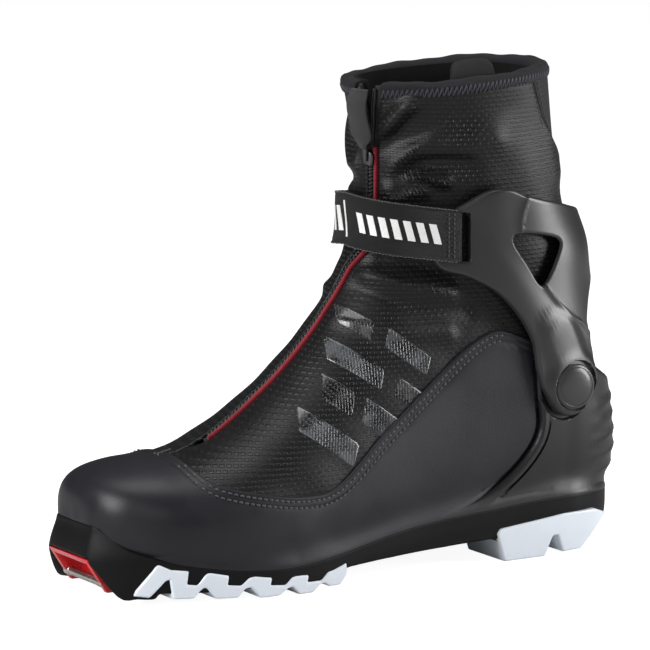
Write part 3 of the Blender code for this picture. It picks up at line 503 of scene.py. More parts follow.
def slab(front, back):
    """Verts and faces of the body between two grids of points."""
    rows, cols = front.shape[:2]
    deep = rows * cols
    faces = []
    for i in range(rows - 1):
        for j in range(cols - 1):
            a = i * cols + j
            faces.append((a, a + 1, a + cols + 1, a + cols))
            faces.append((a + deep, a + cols + deep, a + cols + 1 + deep, a + 1 + deep))
        for a in (i * cols, i * cols + cols - 1):
            faces.append((a, a + cols, a + cols + deep, a + deep))
    for j in range(cols - 1):
        for a in (j, (rows - 1) * cols + j):
            faces.append((a, a + deep, a + 1 + deep, a + 1))
    return np.concatenate([front, back]).reshape(-1, 3), faces


def put_many(name, bodies, finish, body, slot):
    """One piece from many small bodies, such as stitches."""
    verts, faces = [], []
    for v, f in bodies:
        faces += [tuple(k + len(verts) for k in face) for face in f]
        verts += list(v)
    return put(name, verts, faces, finish, body, slot, weld=1e-7)


def stitch(start, end, up, radius):
    """One thread stitch: a short rounded bar that dives at both ends."""
    start, end, up = (np.asarray(v, float) for v in (start, end, up))
    side = np.cross(unit(end - start), up)
    rings = []
    for share, size, rise in STITCH:
        centre = start + (end - start) * share + up * rise * radius
        rings.append([centre + (side * math.cos(t) + up * math.sin(t)) * radius * size for t in STITCH_TURNS])
    return loft(rings)


# Fine grid of the outer side, for finding points by their place in side view.
SIDE_U, SIDE_PHI = np.meshgrid(np.linspace(0, LAST_END, 520), np.linspace(0.02, math.pi - 0.001, 360),
                               indexing="ij")
SIDE_XZ = last_point(SIDE_U, SIDE_PHI)[..., [0, 2]]


def on_side(x, z):
    """u and phi of the outer side's point with this x and z."""
    k = np.argmin((SIDE_XZ[..., 0] - x) ** 2 + (SIDE_XZ[..., 1] - z) ** 2)
    u, phi = SIDE_U.ravel()[k], SIDE_PHI.ravel()[k]
    for _ in range(4):
        here = last_point(u, phi)[[0, 2]]
        du = (last_point(u + 1e-3, phi)[[0, 2]] - here) / 1e-3
        dp = (last_point(u, phi + 1e-3)[[0, 2]] - here) / 1e-3
        try:
            step = np.linalg.solve(np.stack([du, dp], 1), np.array((x, z)) - here)
        except np.linalg.LinAlgError:
            break
        if np.abs(step).max() > 0.25:
            break
        u, phi = u + step[0], phi + step[1]
    return float(np.clip(u, 0, LAST_END)), float(phi)


def resample(line, pitch):
    """Points pitch apart along a line."""
    run = run_length(line)
    at = np.arange(0, run[-1], pitch)
    return np.stack([np.interp(at, run, line[:, k]) for k in range(2)], 1)


def offset(line, by):
    """Line moved to its left by a distance."""
    way = unit(np.gradient(line, axis=0))
    return line + np.stack([-way[:, 1], way[:, 0]], 1) * by


def seam(name, line, lift, pitch, length, radius, body, slot):
    """A row of stitches along a side view line, on both sides of the boot."""
    bodies = []
    spots = [on_side(x, z) for x, z in resample(line, pitch / 2)]
    for side in (1, -1):
        for (u0, p0), (u1, p1) in zip(spots[:-2:2], spots[1:-1:2]):
            p0, p1 = (p if side > 0 else ROUND - p for p in (p0, p1))
            a, b = skin(u0, p0, lift), skin(u1, p1, lift)
            if np.linalg.norm(b - a) > 3 * pitch:
                continue
            middle = 0.5 * (a + b)
            way = unit(b - a) * length / 2
            bodies.append(stitch(middle - way, middle + way, normal_at(u0, p0), radius))
    return put_many(name, bodies, MAT_THREAD, body, slot)


def lathe(profile, count):
    """Verts and faces turned about Y; profile is (radius, height) pairs, from and to the axis."""
    loops = []
    for radius, y in profile:
        if radius == 0:
            loops.append([(0.0, y, 0.0)])
        else:
            loops.append([(radius * math.cos(ROUND * k / count), y, radius * math.sin(ROUND * k / count))
                          for k in range(count)])
    verts = [p for loop in loops for p in loop]
    faces = []
    base = 0
    for now, after in zip(loops, loops[1:]):
        for k in range(count):
            m = (k + 1) % count
            if len(now) == 1 and len(after) > 1:
                faces.append((base, base + 1 + k, base + 1 + m))
            elif len(after) == 1 and len(now) > 1:
                faces.append((base + k, base + m, base + count))
            elif len(now) > 1:
                faces.append((base + k, base + m, base + count + m, base + count + k))
        base += len(now)
    return np.array(verts), faces


# ---------------------------------------------------------------- materials

class Net:
    """A Principled material and short names for the nodes that give it detail."""

    def __init__(self, name, color, rough, **fixed):
        self.mat = bpy.data.materials.new(name)
        self.mat.use_nodes = True
        self.tree = self.mat.node_tree
        self.bsdf = self.tree.nodes["Principled BSDF"]
        self.color = color
        self.bsdf.inputs["Base Color"].default_value = (*color, 1)
        self.bsdf.inputs["Roughness"].default_value = rough
        for key, value in fixed.items():
            self.bsdf.inputs[key.replace("_", " ")].default_value = value

    def node(self, kind, inputs=(), **settings):
        made = self.tree.nodes.new(kind)
        for key, value in settings.items():
            setattr(made, key, value)
        for key, value in dict(inputs).items():
            if isinstance(value, bpy.types.NodeSocket):
                self.tree.links.new(value, made.inputs[key])
            else:
                made.inputs[key].default_value = value
        return made

    def place(self, scale=1.0, turn=0.0, cloth=False, stretch=(1, 1, 1)):
        """Coordinates in millimetres times scale: the cloth's own, or the object's."""
        if cloth:
            vector = self.node("ShaderNodeAttribute", attribute_name="weave").outputs["Vector"]
            size = scale
        else:
            vector = self.node("ShaderNodeTexCoord").outputs["Object"]
            size = scale / MM
        return self.node("ShaderNodeMapping", {
            "Vector": vector, "Rotation": (0, 0, turn), "Scale": tuple(size * s for s in stretch),
        }).outputs["Vector"]

    def noise(self, vector, detail=3.0, rough=0.5):
        return self.node("ShaderNodeTexNoise", {
            "Vector": vector, "Scale": 1.0, "Detail": detail, "Roughness": rough}).outputs["Fac"]

    def cells(self, vector):
        return self.node("ShaderNodeTexVoronoi", {"Vector": vector, "Scale": 1.0}).outputs["Distance"]

    def bricks(self, vector, width, row, gap, soft):
        """1 between the bricks and 0 on them; sizes in tenths of the vector's unit."""
        return self.node("ShaderNodeTexBrick", {
            "Vector": vector, "Scale": 0.1, "Mortar Size": gap, "Mortar Smooth": soft, "Bias": 0.0,
            "Brick Width": width, "Row Height": row}, offset=0.5).outputs["Fac"]

    def bands(self, vector, direction):
        return self.node("ShaderNodeTexWave", {
            "Vector": vector, "Scale": 1.0, "Distortion": 0.0, "Detail": 1.0},
            wave_type="BANDS", bands_direction=direction, wave_profile="SIN").outputs["Fac"]

    def math(self, operation, a, b):
        return self.node("ShaderNodeMath", {0: a, 1: b}, operation=operation).outputs[0]

    def scaled(self, value, low, high, start=0.0, stop=1.0):
        return self.node("ShaderNodeMapRange", {
            "Value": value, "From Min": start, "From Max": stop,
            "To Min": low, "To Max": high}).outputs["Result"]

    def mix(self, share, a, b):
        made = self.node("ShaderNodeMix", data_type="RGBA")
        for socket, value in ((made.inputs[0], share), (made.inputs[6], a), (made.inputs[7], b)):
            if isinstance(value, bpy.types.NodeSocket):
                self.tree.links.new(value, socket)
            else:
                socket.default_value = (*value, 1) if isinstance(value, tuple) else value
        return made.outputs[2]

    def paint(self, socket):
        self.tree.links.new(socket, self.bsdf.inputs["Base Color"])

    def shade(self, share, low, high):
        """Paints between two shades of the material's colour."""
        self.paint(self.mix(share, tint(self.color, low), tint(self.color, high)))

    def gloss(self, socket, more=None):
        if more is not None:
            socket = self.math("ADD", socket, more)
        self.tree.links.new(socket, self.bsdf.inputs["Roughness"])

    def bump(self, height, depth, strength=1.0, below=None):
        """Bump of the given depth in millimetres, over an earlier one."""
        inputs = {"Height": height, "Distance": depth * MM, "Strength": strength}
        if below is not None:
            inputs["Normal"] = below
        return self.node("ShaderNodeBump", inputs).outputs["Normal"]

    def shape(self, normal):
        self.tree.links.new(normal, self.bsdf.inputs["Normal"])
        return self.mat


def tint(color, by):
    return tuple(min(1.0, c * by) for c in color)


def embossed_fabric(name, color, rough, width, row, gap, depth, sheen=0.0):
    """Softshell with staggered rows of short raised dashes."""
    net = Net(name, color, rough, Sheen_Weight=sheen, Sheen_Roughness=0.4, Specular_IOR_Level=0.30)
    dashes = net.math("SUBTRACT", 1.0, net.bricks(net.place(cloth=True), width, row, gap, 0.45))
    knit = net.bands(net.place(1.9, cloth=True, turn=0.5), "X")
    cloud = net.noise(net.place(0.045), 2.0)
    # The raised dashes are painted up to 3.4 times lighter than the ground between them, varied by a random
    # cloud. This is a painted highlight on the emboss.
    net.shade(net.math("MULTIPLY", dashes, net.scaled(cloud, 0.4, 1.0)), 1.0, 3.4)
    net.gloss(net.scaled(dashes, rough + 0.03, rough - 0.08), net.scaled(cloud, -0.08, 0.08))
    grain = net.bump(net.noise(net.place(0.9), 2.0), 0.12, 0.5, net.bump(knit, 0.02, 0.5))
    return net.shape(net.bump(dashes, depth, 0.9, grain))


def coated(name, color, rough, cell, depth, **fixed):
    """Synthetic leather with a fine pebble grain."""
    net = Net(name, color, rough, **fixed)
    grain = net.cells(net.place(cell))
    cloud = net.noise(net.place(0.03), 3.0)
    scuff = net.noise(net.place(0.35, stretch=(1, 1, 4)), 4.0, 0.7)
    net.shade(net.scaled(cloud, 0.0, 1.0, 0.3, 0.7), 0.85, 1.2)
    net.gloss(net.scaled(cloud, rough - 0.07, rough + 0.07, 0.3, 0.7), net.scaled(scuff, -0.04, 0.04))
    return net.shape(net.bump(net.noise(net.place(0.12), 3.0), 0.16, 0.35, net.bump(grain, depth, 0.6)))


def moulded(name, color, rough, depth=0.03, **fixed):
    """Injection moulded plastic or rubber: very fine spark texture, faint long scratches."""
    net = Net(name, color, rough, **fixed)
    spark = net.noise(net.place(3.2), 3.0, 0.65)
    cloud = net.noise(net.place(0.04), 2.0)
    lines = net.noise(net.place(0.5, turn=0.5, stretch=(0.15, 1, 2.5)), 5.0, 0.7)
    net.shade(cloud, 0.85, 1.18)
    net.gloss(net.scaled(spark, rough - 0.05, rough + 0.05), net.scaled(lines, -0.05, 0.05))
    return net.shape(net.bump(lines, 0.02, 0.3, net.bump(spark, depth, 0.5)))


def woven(name, color, rough, pitch, depth=0.18, crown_highlight=1.6, sheen=0.15):
    """Plain woven tape: crossed rows of rounded yarns."""
    net = Net(name, color, rough, Sheen_Weight=sheen, Sheen_Roughness=0.5, Specular_IOR_Level=0.35)
    cloth = net.place(0.5 / pitch, cloth=True)
    weft, warp = net.bands(cloth, "X"), net.bands(cloth, "Y")
    yarns = net.math("MAXIMUM", net.math("MULTIPLY", weft, warp),
                     net.math("MULTIPLY", net.math("SUBTRACT", 1.0, weft), net.math("SUBTRACT", 1.0, warp)))
    fuzz = net.noise(net.place(0.8), 3.0)
    # Yarn crowns are painted lighter and the gaps between yarns darker, down to 0.6 of the colour, varied by
    # random fuzz. This is a painted highlight and painted shade of the weave.
    net.shade(net.math("MULTIPLY", yarns, fuzz), 0.6, crown_highlight)
    net.gloss(net.scaled(fuzz, rough - 0.08, rough + 0.08))
    return net.shape(net.bump(yarns, depth, 0.8, net.bump(fuzz, 0.08, 0.5)))


def metal(name, color, rough):
    """Brushed and slightly worn metal."""
    net = Net(name, color, rough, Metallic=1.0)
    brush = net.noise(net.place(1.2, stretch=(6, 0.3, 6)), 4.0, 0.7)
    spots = net.noise(net.place(0.25), 3.0)
    net.shade(spots, 0.72, 1.1)
    net.gloss(net.scaled(brush, rough - 0.08, rough + 0.1), net.scaled(spots, -0.05, 0.08))
    return net.shape(net.bump(brush, 0.03, 0.4))


def foil(name, color):
    """Glossy printed film, mottled from dark to silver."""
    net = Net(name, color, 0.2, Specular_IOR_Level=0.7, Coat_Weight=0.6, Coat_Roughness=0.12)
    patches = net.scaled(net.noise(net.place(0.085, stretch=(1, 1, 1.5)), 4.0, 0.6), 0.0, 1.0, 0.42, 0.62)
    dashes = net.bricks(net.place(cloth=True, turn=-0.35), 0.30, 0.17, 0.045, 0.7)
    net.shade(patches, 0.12, 1.0)
    net.gloss(net.scaled(patches, 0.16, 0.34))
    return net.shape(net.bump(dashes, 0.2, 0.6))


def printed(name, color):
    """Opaque rubbery ink on webbing, with the yarns showing through."""
    net = Net(name, color, 0.5)
    cloth = net.place(0.42, cloth=True)
    yarns = net.math("MULTIPLY", net.bands(cloth, "X"), net.bands(cloth, "Y"))
    wear = net.noise(net.place(0.5), 4.0, 0.7)
    net.shade(net.scaled(wear, 0.0, 0.35, 0.5, 0.75), 1.0, 0.55)
    net.gloss(net.scaled(wear, 0.42, 0.6))
    return net.shape(net.bump(yarns, 0.1, 0.6))


def tread_plastic(name, color):
    """White thermoplastic: faint cloudiness, and a grainy grey darkening towards the ground."""
    net = Net(name, color, 0.34, Subsurface_Weight=0.06, Subsurface_Scale=0.002, Coat_Weight=0.25)
    height = net.node("ShaderNodeSeparateXYZ", {0: net.place(1.0)}).outputs["Z"]
    speckle = net.noise(net.place(0.55), 5.0, 0.75)
    low = net.scaled(height, 0.5, 0.0, 0.0, 5.0)
    # Grey is mixed in by a grainy noise, most within 5 mm of the ground and faintly everywhere: darker towards
    # the bottom.
    low_darkening = net.math("MULTIPLY", net.scaled(speckle, 0.0, 1.0, 0.5, 0.8), net.math("MAXIMUM", low, 0.04))
    cloud = net.noise(net.place(0.05), 2.0)
    clean = net.mix(cloud, tint(color, 0.96), tint(color, 1.03))
    net.paint(net.mix(low_darkening, clean, (0.30, 0.29, 0.28)))
    net.gloss(net.scaled(speckle, 0.28, 0.44))
    return net.shape(net.bump(net.noise(net.place(1.6), 3.0), 0.03, 0.5))


MAT_SOFTSHELL = embossed_fabric("softshell_embossed", (0.0042, 0.0042, 0.0045), 0.37, 0.38, 0.22, 0.085, 0.24)
MAT_STRETCH = embossed_fabric("rear_stretch_knit", (0.0080, 0.0080, 0.0086), 0.58, 0.14, 0.12, 0.03, 0.14, 0.04)
MAT_WRAP = coated("wrap_synthetic", (0.0125, 0.0120, 0.0155), 0.44, 1.3, 0.045, Specular_IOR_Level=0.32)
MAT_COUNTER = moulded("counter_moulded", (0.0115, 0.0114, 0.0128), 0.38, Specular_IOR_Level=0.4)
MAT_CUFF = moulded("cuff_satin_plastic", (0.0215, 0.0215, 0.0220), 0.33, depth=0.02)
MAT_CAP = moulded("pivot_cap_plastic", (0.0340, 0.0340, 0.0355), 0.30, depth=0.02)
MAT_SOLE = moulded("sole_rubber", (0.0060, 0.0060, 0.0066), 0.46, depth=0.05, Specular_IOR_Level=0.12)
MAT_TREAD = tread_plastic("tread_white_plastic", (0.76, 0.81, 0.88))
MAT_RED = moulded("insert_red_plastic", (0.62, 0.012, 0.020), 0.28, depth=0.02, Coat_Weight=0.3)
MAT_STEEL = metal("binding_bar_steel", (0.66, 0.64, 0.60), 0.24)
MAT_SLIDER = metal("slider_dark_metal", (0.10, 0.10, 0.105), 0.30)
MAT_COIL = moulded("zip_coil_nylon", (0.012, 0.012, 0.013), 0.30)
MAT_TAPE = woven("zip_tape_weave", (0.010, 0.010, 0.011), 0.75, 0.6)
MAT_PIPING = woven("piping_crimson", (0.30, 0.004, 0.016), 0.50, 0.7, 0.10, 1.25)
MAT_BINDING = woven("collar_binding_knit", (0.0065, 0.0060, 0.0095), 0.72, 0.9, 0.2, sheen=0.02)
MAT_THREAD = woven("dark_thread", (0.045, 0.045, 0.048), 0.50, 0.35, 0.06)
MAT_THREAD_LIGHT = woven("overlock_thread", (0.034, 0.033, 0.045), 0.55, 0.35, 0.06)
MAT_WEBBING = woven("strap_webbing", (0.0070, 0.0070, 0.0076), 0.58, 1.3, 0.40, 2.2, sheen=0.02)
MAT_FRAY = woven("strap_edge_yarn", (0.10, 0.10, 0.105), 0.7, 0.5, 0.1)
MAT_INK = printed("white_ink", (0.80, 0.80, 0.79))
MAT_LINING = woven("lining_fleece", (0.0016, 0.0016, 0.0018), 0.95, 1.1, 0.25, 1.5, sheen=0.0)
MAT_INSOLE = woven("insole_knit", (0.030, 0.030, 0.034), 0.85, 0.9, 0.2)
MAT_RIBBON = woven("puller_ribbon", (0.020, 0.020, 0.022), 0.60, 0.7, 0.15)
MAT_TAB = woven("pull_tab_webbing", (0.010, 0.010, 0.011), 0.65, 0.9, 0.2, sheen=0.02)
MAT_GLOSS = foil("glossy_black_print", (0.012, 0.012, 0.013))
MAT_FOIL = foil("glossy_foil_print", (0.060, 0.063, 0.070))


# ---------------------------------------------------------------- upper

# Creases of the collar and the instep on the outer side: side view line, height in mm, width in mm.
FOLDS = [
    ([(21, 229), (14, 213.5), (6, 199)], 2.2, 3.4),
    ([(24, 214), (13.2, 203.8), (3, 194)], -1.7, 3.0),
    ([(36, 214), (26, 206), (15, 190)], 1.3, 3.4),
    ([(68, 226), (43.5, 221.8), (24, 211)], -2.6, 7.5),
    ([(36, 186), (23, 187.5), (12, 181)], 1.6, 3.2),
    ([(46, 193), (30, 194.5), (18, 187)], -1.5, 4.0),
    ([(60, 204), (44, 202), (30, 200)], 0.9, 6.0),
    ([(28, 181), (16, 177)], 0.9, 2.4),
    ([(100, 226), (99, 206), (104, 186)], 1.1, 8.0),
    ([(10, 149), (24, 146), (40, 141)], -1.2, 3.4),
    ([(4, 141), (20, 136), (38, 132)], 1.1, 3.2),
    ([(0, 134), (20, 126), (46, 124)], -1.0, 3.2),
    ([(-14, 122), (8, 116), (36, 113)], 0.7, 4.0),
]
INNER_FOLDS = [
    ([(30, 222), (18, 206), (10, 192)], 1.6, 4.0),
    ([(60, 206), (40, 198), (20, 190)], -1.6, 6.0),
    ([(44, 186), (28, 184), (14, 178)], 1.3, 3.6),
    ([(10, 146), (26, 142), (46, 138)], -1.1, 3.6),
    ([(0, 132), (20, 128), (44, 124)], 0.9, 3.6),
    ([(90, 220), (94, 200), (104, 184)], 1.0, 8.0),
]


# The heights above are multiplied by this, and the hollows stay shallower than this many millimetres.
FOLD_SCALE = 2.2
DEEPEST_FOLD = 2.3


def folds(u, phi):
    """Height of the fabric's creases; they die out at the rim and the zip."""
    u, phi = np.broadcast_arrays(np.asarray(u, float), np.asarray(phi, float))
    at = last_point(u, phi).reshape(-1, 3)
    outer = (phi < math.pi).ravel()
    total = np.zeros(len(at))
    for marks, side in ((FOLDS, outer), (INNER_FOLDS, ~outer)):
        if not side.any():
            continue
        part = np.zeros(side.sum())
        for line, height, width in marks:
            part += FOLD_SCALE * height * hump(from_line(at[side][:, [0, 2]], smooth(line, 6)), width)
        total[side] = part
    total = np.where(total < 0, DEEPEST_FOLD * np.tanh(total / DEEPEST_FOLD), total)
    away = np.abs((zip_centre(u) - phi) * zip_size(u)).ravel()
    near_zip = fade(away, 2.0, 14.0)
    rim = fade(LAST_END - u.ravel(), 0.0, 1.2)
    heel = fade(142 - at[:, 0], 0, 30)
    lazy = 0.35 * (np.sin(at[:, 2] * 0.16 + at[:, 0] * 0.07) * np.sin(at[:, 0] * 0.11 - at[:, 1] * 0.05))
    return ((total + lazy) * near_zip * rim * heel).reshape(u.shape)


def wrap_area():
    edge = smooth(WRAP_EDGE, 8)
    return np.array([(-220, -30), (94, -30), (94, 100)] + list(edge[::-1]) + [(-92, 140), (-220, 140)])


def nose_lean(x, z):
    """How far the sole's wall leans back over the nose, and a little at the heel."""
    return NOSE_LEAN * fade(z, 20, 37) * fade(-x, 112, 140) + HEEL_LEAN * fade(z, -4, 14) * fade(x, 104, 138)


def to_sole(points, u, phi):
    """Lets the foot of the upper out to the edge of the sole, where the two are bonded."""
    height = points[:, 2] - np.interp(points[:, 0], *np.array(RAND).T)
    gap = np.maximum(within(points[:, :2], PLAN[::8]) - BOND_INSET - nose_lean(points[:, 0], 37.0), 0)
    way = normal_at(u, phi) * (1, 1, 0)
    return points + unit(way) * (gap * (1 - fade(height, 0.0, BOND_HEIGHT)))[:, None]


def bonded(u, phi, lift):
    return to_sole(skin(u, phi % ROUND, lift), u, phi % ROUND)


def build_softshell():
    """Weatherproof fabric of each side, from under the wrap to the rim."""
    area = wrap_area()
    for side, name, label, edge, low, high in (
            (1, "outer", "lateral", OUTER_EDGE, 0.002, math.pi + 0.14),
            (-1, "inner", "medial", INNER_EDGE, math.pi - 0.25, ROUND - 0.002)):
        patch = Patch(ring_lines(4.6, LAST_END, 1.7), turns(low, high, 0.033))
        u, phi = patch[0], patch[1]
        away = side * (zip_centre(u) - phi) * zip_size(u)
        away = away - (edge + spread(u)) * fade(u, ZIP_START - 0.5, ZIP_START)
        zip_side = patch.add(away)
        at = last_point(u, phi)
        covered = patch.add(14.0 - within(at[:, [0, 2]], area))
        behind = patch.add(-within(at[:, [0, 2]], REAR_PANEL))
        under = patch.add(np.maximum(at[:, 2] - 66, 30 * (math.pi - 1.05 - side * (math.pi - phi))))
        patch.keep(under)
        patch.keep(covered)
        patch.keep(behind, 0.15)
        patch.split(zip_side, 0.0, 0.35, 0.9, 1.8)
        patch.keep(zip_side)
        patch.split(behind, 0.5, 1.0)
        rim = np.minimum(edge_round(patch[zip_side], 1.2), edge_round(patch[behind] - 0.15, 0.9))
        lift = folds(patch[0], patch[1]) - 1.1 * (1 - rim)
        lift += 0.35 * hump(patch[behind] - 1.6, 0.8)
        ob = bend(layer(f"softshell_{name}", patch, lift, lift - rim - 0.15, MAT_SOFTSHELL, "softshell",
                        level=True))
        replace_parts(ob, f"softshell_instep_{label}", f"softshell_collar_{label}")


def build_rear_panel():
    """Stretch panel at the back of the collar, joined by a twin needle seam."""
    patch = Patch(ring_lines(12.0, LAST_END, 1.7), turns(-1.25, 1.25, 0.04))
    inside = patch.add(within(patch.side(), REAR_PANEL))
    patch.keep(inside, 0.15)
    patch.split(inside, 0.45, 0.9)
    rim = edge_round(patch[inside] - 0.15, 0.9)
    lift = -0.9 * (1 - rim) + 0.25 * hump(patch[inside] - 1.5, 0.7)
    ob = layer("rear_stretch_panel", patch, lift, lift - rim - 0.15, MAT_STRETCH, "rear_stretch", "cuff",
               place=skin_round)
    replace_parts(ob, "collar_rear_panel")
    line = smooth([(82, 234), (90, 214), (98, 202), (104, 194)], 8)
    for k, by in enumerate((-1.9, 1.7)):
        seam(f"rear_seam_stitches_{k}", offset(line, by), 0.35, 2.6, 1.9, 0.28, "cuff", "rear_stretch")


def build_wrap():
    """Synthetic wrap over the toe and round the foot, with a turned edge and a twin stitched seam."""
    patch = Patch(np.concatenate([NOSE_TIP, ring_lines(0, 13.4, 1.7)]), turns(0, ROUND, 0.042))
    at = patch.at()
    edge = patch.add(within(at[:, [0, 2]], wrap_area()))
    ground = patch.add(at[:, 2] - np.interp(at[:, 0], *np.array(RAND).T) + 0.9)
    patch.split(ground, 0.4, 0.9, 1.5)
    patch.keep(ground)
    patch.split(edge, 0.0, 0.25, 0.6, 1.1, 1.7, 2.4, 3.1, 4.5, 5.2, 5.9)
    patch.keep(edge)
    beside = patch.add(within(patch.side(), counter_outline()))
    patch.split(beside, -2.2, -1.95, -1.7)
    d = patch[edge]
    side = patch.side()
    sunk = -0.26 * (hump(d - 2.4, 0.7) + hump(d - 5.2, 0.7)) - 1.4 * fade(patch[beside], -2.2, -1.7)
    crease = 0.5 * hump(from_line(side, smooth([(-60, 60), (-52, 44), (-54, 30)], 6)), 7.0)
    crease -= 0.5 * hump(from_line(side, smooth([(-40, 56), (-34, 40), (-38, 26)], 6)), 7.0)
    top = WRAP[0] + (WRAP[1] - WRAP[0] + sunk) * edge_round(d, 1.1) + crease * fade(d, 4, 16)
    top = top - 1.5 * (1 - edge_round(patch[ground], 1.4))
    ob = layer("vamp_wrap_skin", patch, top, WRAP[0] - 1.0, MAT_WRAP, "wrap_black", "root", place=bonded)
    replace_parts(ob, "vamp_wrap")
    line = smooth(WRAP_EDGE, 10)
    line = line[line[:, 0] > -97.6]
    for k, by in enumerate((-2.4, -5.2)):
        seam(f"wrap_stitches_{k}", offset(line, by)[4:-6], WRAP[1] - 0.12, 2.8, 2.0, 0.52, "root", "wrap_black")


def counter_outline():
    foot = [(x, z + 0.4) for x, z in smooth(RAND, 4) if x > COUNTER_EDGE[0][0]]
    return np.array(list(smooth(COUNTER_EDGE, 6)) + COUNTER_BACK + [(200, foot[-1][1])] + foot[::-1])


def build_counter():
    """Moulded heel counter: raised lip along its front, seat of the cuff arm, ribs behind."""
    patch = Patch(ring_lines(8.2, 15.6, 1.1), turns(-2.3, 2.3, 0.035))
    side = patch.side()
    edge = patch.add(within(side, counter_outline()))
    seat = patch.add(within(side, smooth(CUFF_EDGE, 6, closed=True)))
    patch.keep(edge, -0.001)
    patch.split(edge, 0.3, 0.8, 1.5, 2.6, 3.85, 4.05, 5.05, 5.25)
    patch.split(seat, -2.9, -2.3, -1.9, -1.5, -0.8)
    x, _, z = patch.at().T
    d = patch[edge]
    cut = fade(d, 3.85, 4.05) * (1 - fade(d, 5.05, 5.25)) * fade(-z, -67, -65.5)
    lip = fade(95 - x, 0, 12) * (0.5 * hump(d - 1.9, 1.0) - 1.9 * cut)
    shelf = fade(patch[seat], -2.3, -1.5) * fade(z, 60, 66)
    ribs = 0.9 * sum(hump(z - rib - 0.10 * (x - 140), 1.5) for rib in range(32, 73, 8)) * fade(x, 112, 122)
    raised = 0.9 * fade(x, 100, 112) * fade(34 - patch[seat], 0, 30) * (1 - shelf)
    top = COUNTER[0] + (COUNTER[1] - COUNTER[0]) * edge_round(d, 1.5) + lip * fade(d, 0.2, 1.4)
    top = top + (ribs + raised) * fade(d, 0.5, 3.0) * (1 - shelf) - 2.0 * shelf
    ob = layer("heel_counter_shell", patch, top, COUNTER[0] - 0.4, MAT_COUNTER, "counter_black", "root",
               place=bonded)
    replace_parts(ob, "heel_counter")


def build_cuff():
    """Plastic cuff: wings with strap slots, crest line, window, boss over the pivot, spoiler behind."""
    crest = smooth([(75, 178), (72, 168), (72.5, 158), (79, 144), (88, 130), (98, 119), (108, 112),
                    (114, 104)], 8)
    patch = Patch(ring_lines(8.5, 18.8, 1.0), turns(-2.75, 2.75, 0.03))
    side = patch.side()
    holes = np.minimum(-within(side, smooth(WINDOW, 6, closed=True)), -within(side, np.array(SLOT)))
    edge = patch.add(within(side, smooth(CUFF_EDGE, 6, closed=True)))
    hole = patch.add(holes)
    patch.keep(edge, -0.001)
    patch.keep(hole, -0.001)
    patch.split(edge, 0.25, 0.6, 1.1, 1.8)
    patch.split(hole, 0.25, 0.6, 1.1, 1.8)
    ridge = patch.add(within(patch.side(), np.array(list(crest) + [(160, 104), (160, 190), (75, 190)])))
    patch.split(ridge, -1.6, -0.5, 0.0, 0.7, 3.0)
    seat = patch.add(np.hypot(*(patch.side() - (PIVOT_X, PIVOT_Z)).T))
    patch.split(seat, 11.45, 11.75, 12.05, 13.0)
    side = patch.side()
    x, z = side.T
    round_off = np.minimum(edge_round(patch[edge], 1.7), edge_round(patch[hole], 1.3))
    r = patch[ridge]
    step = -1.5 * fade(r, -0.2, 0.9) + 0.55 * hump(np.minimum(r + 0.4, 0), 1.6) * (1 - fade(r, -0.2, 0.9))
    pivot = np.hypot(x - PIVOT_X, z - PIVOT_Z)
    neck = 0.8 * fade(-from_line(side, np.array([(92, 110), (101, 90)])), -13.0, -6.0)
    boss = 2.0 * (1 - (1 - neck) * (1 - fade(-pivot, -17.0, -12.5))) - 2.2 * fade(-pivot, -12.0, -11.5)
    spoiler = 2.4 * fade(x, 88, 118) * hump(z - 150, 14.0)
    wing = 0.8 * hump(from_line(side, np.array([(56, 172), (58, 150), (72, 130), (84, 112)])), 9.0)
    top = CUFF[0] + spoiler + (CUFF[1] - CUFF[0] + step * fade(z, 96, 108) + boss + wing) * round_off
    ob = layer("cuff_shell", patch, top, CUFF[0] + spoiler - 0.3 * round_off, MAT_CUFF, "cuff_grey", "cuff",
               place=skin_round)
    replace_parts(ob, "cuff")


def build_pivot_caps():
    """Headed pins with a rounded rim and a fine groove round the head."""
    profile = [(0, 38.8), (3.9, 38.8), (3.9, 45.7), (10.4, 45.7), (10.9, 46.0), (11.0, 46.5), (10.8, 46.9),
               (10.3, 47.2), (9.6, 47.45), (9.35, 47.3), (9.1, 47.5), (7.0, 47.95), (4.0, 48.2), (0, 48.3)]
    verts, faces = lathe(profile, 72)
    for name, sign in (("lateral", -1), ("medial", 1)):
        place = verts * (1, sign, 1) + (PIVOT_X, 0, PIVOT_Z)
        ob = put(f"pivot_cap_head_{name}", place, faces, MAT_CAP, "root", "cap_grey", sharp=35)
        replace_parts(ob, f"pivot_cap_{name}")


# ---------------------------------------------------------------- zip

def along_zip(name, high, step, profile, finish, slot, nodes, side=0.0):
    """Closed profile of (away from the zip, lift) pairs carried up it; side follows the collar's parting."""
    lines = ring_lines(ZIP_START, high, step)
    rings = []
    weave = []
    for u, run in zip(lines, run_length(last_point(lines, math.pi))):
        for away, lift in profile:
            rings.append(skin(u, zip_phi(u, away + side * spread(u)), lift + float(folds(u, zip_phi(u, away)))))
            weave.append((away, run))
    verts, faces = loft(np.reshape(rings, (len(lines), len(profile), 3)))
    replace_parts(bend(put(name, verts, faces, finish, None, slot, weave=weave)), *nodes)


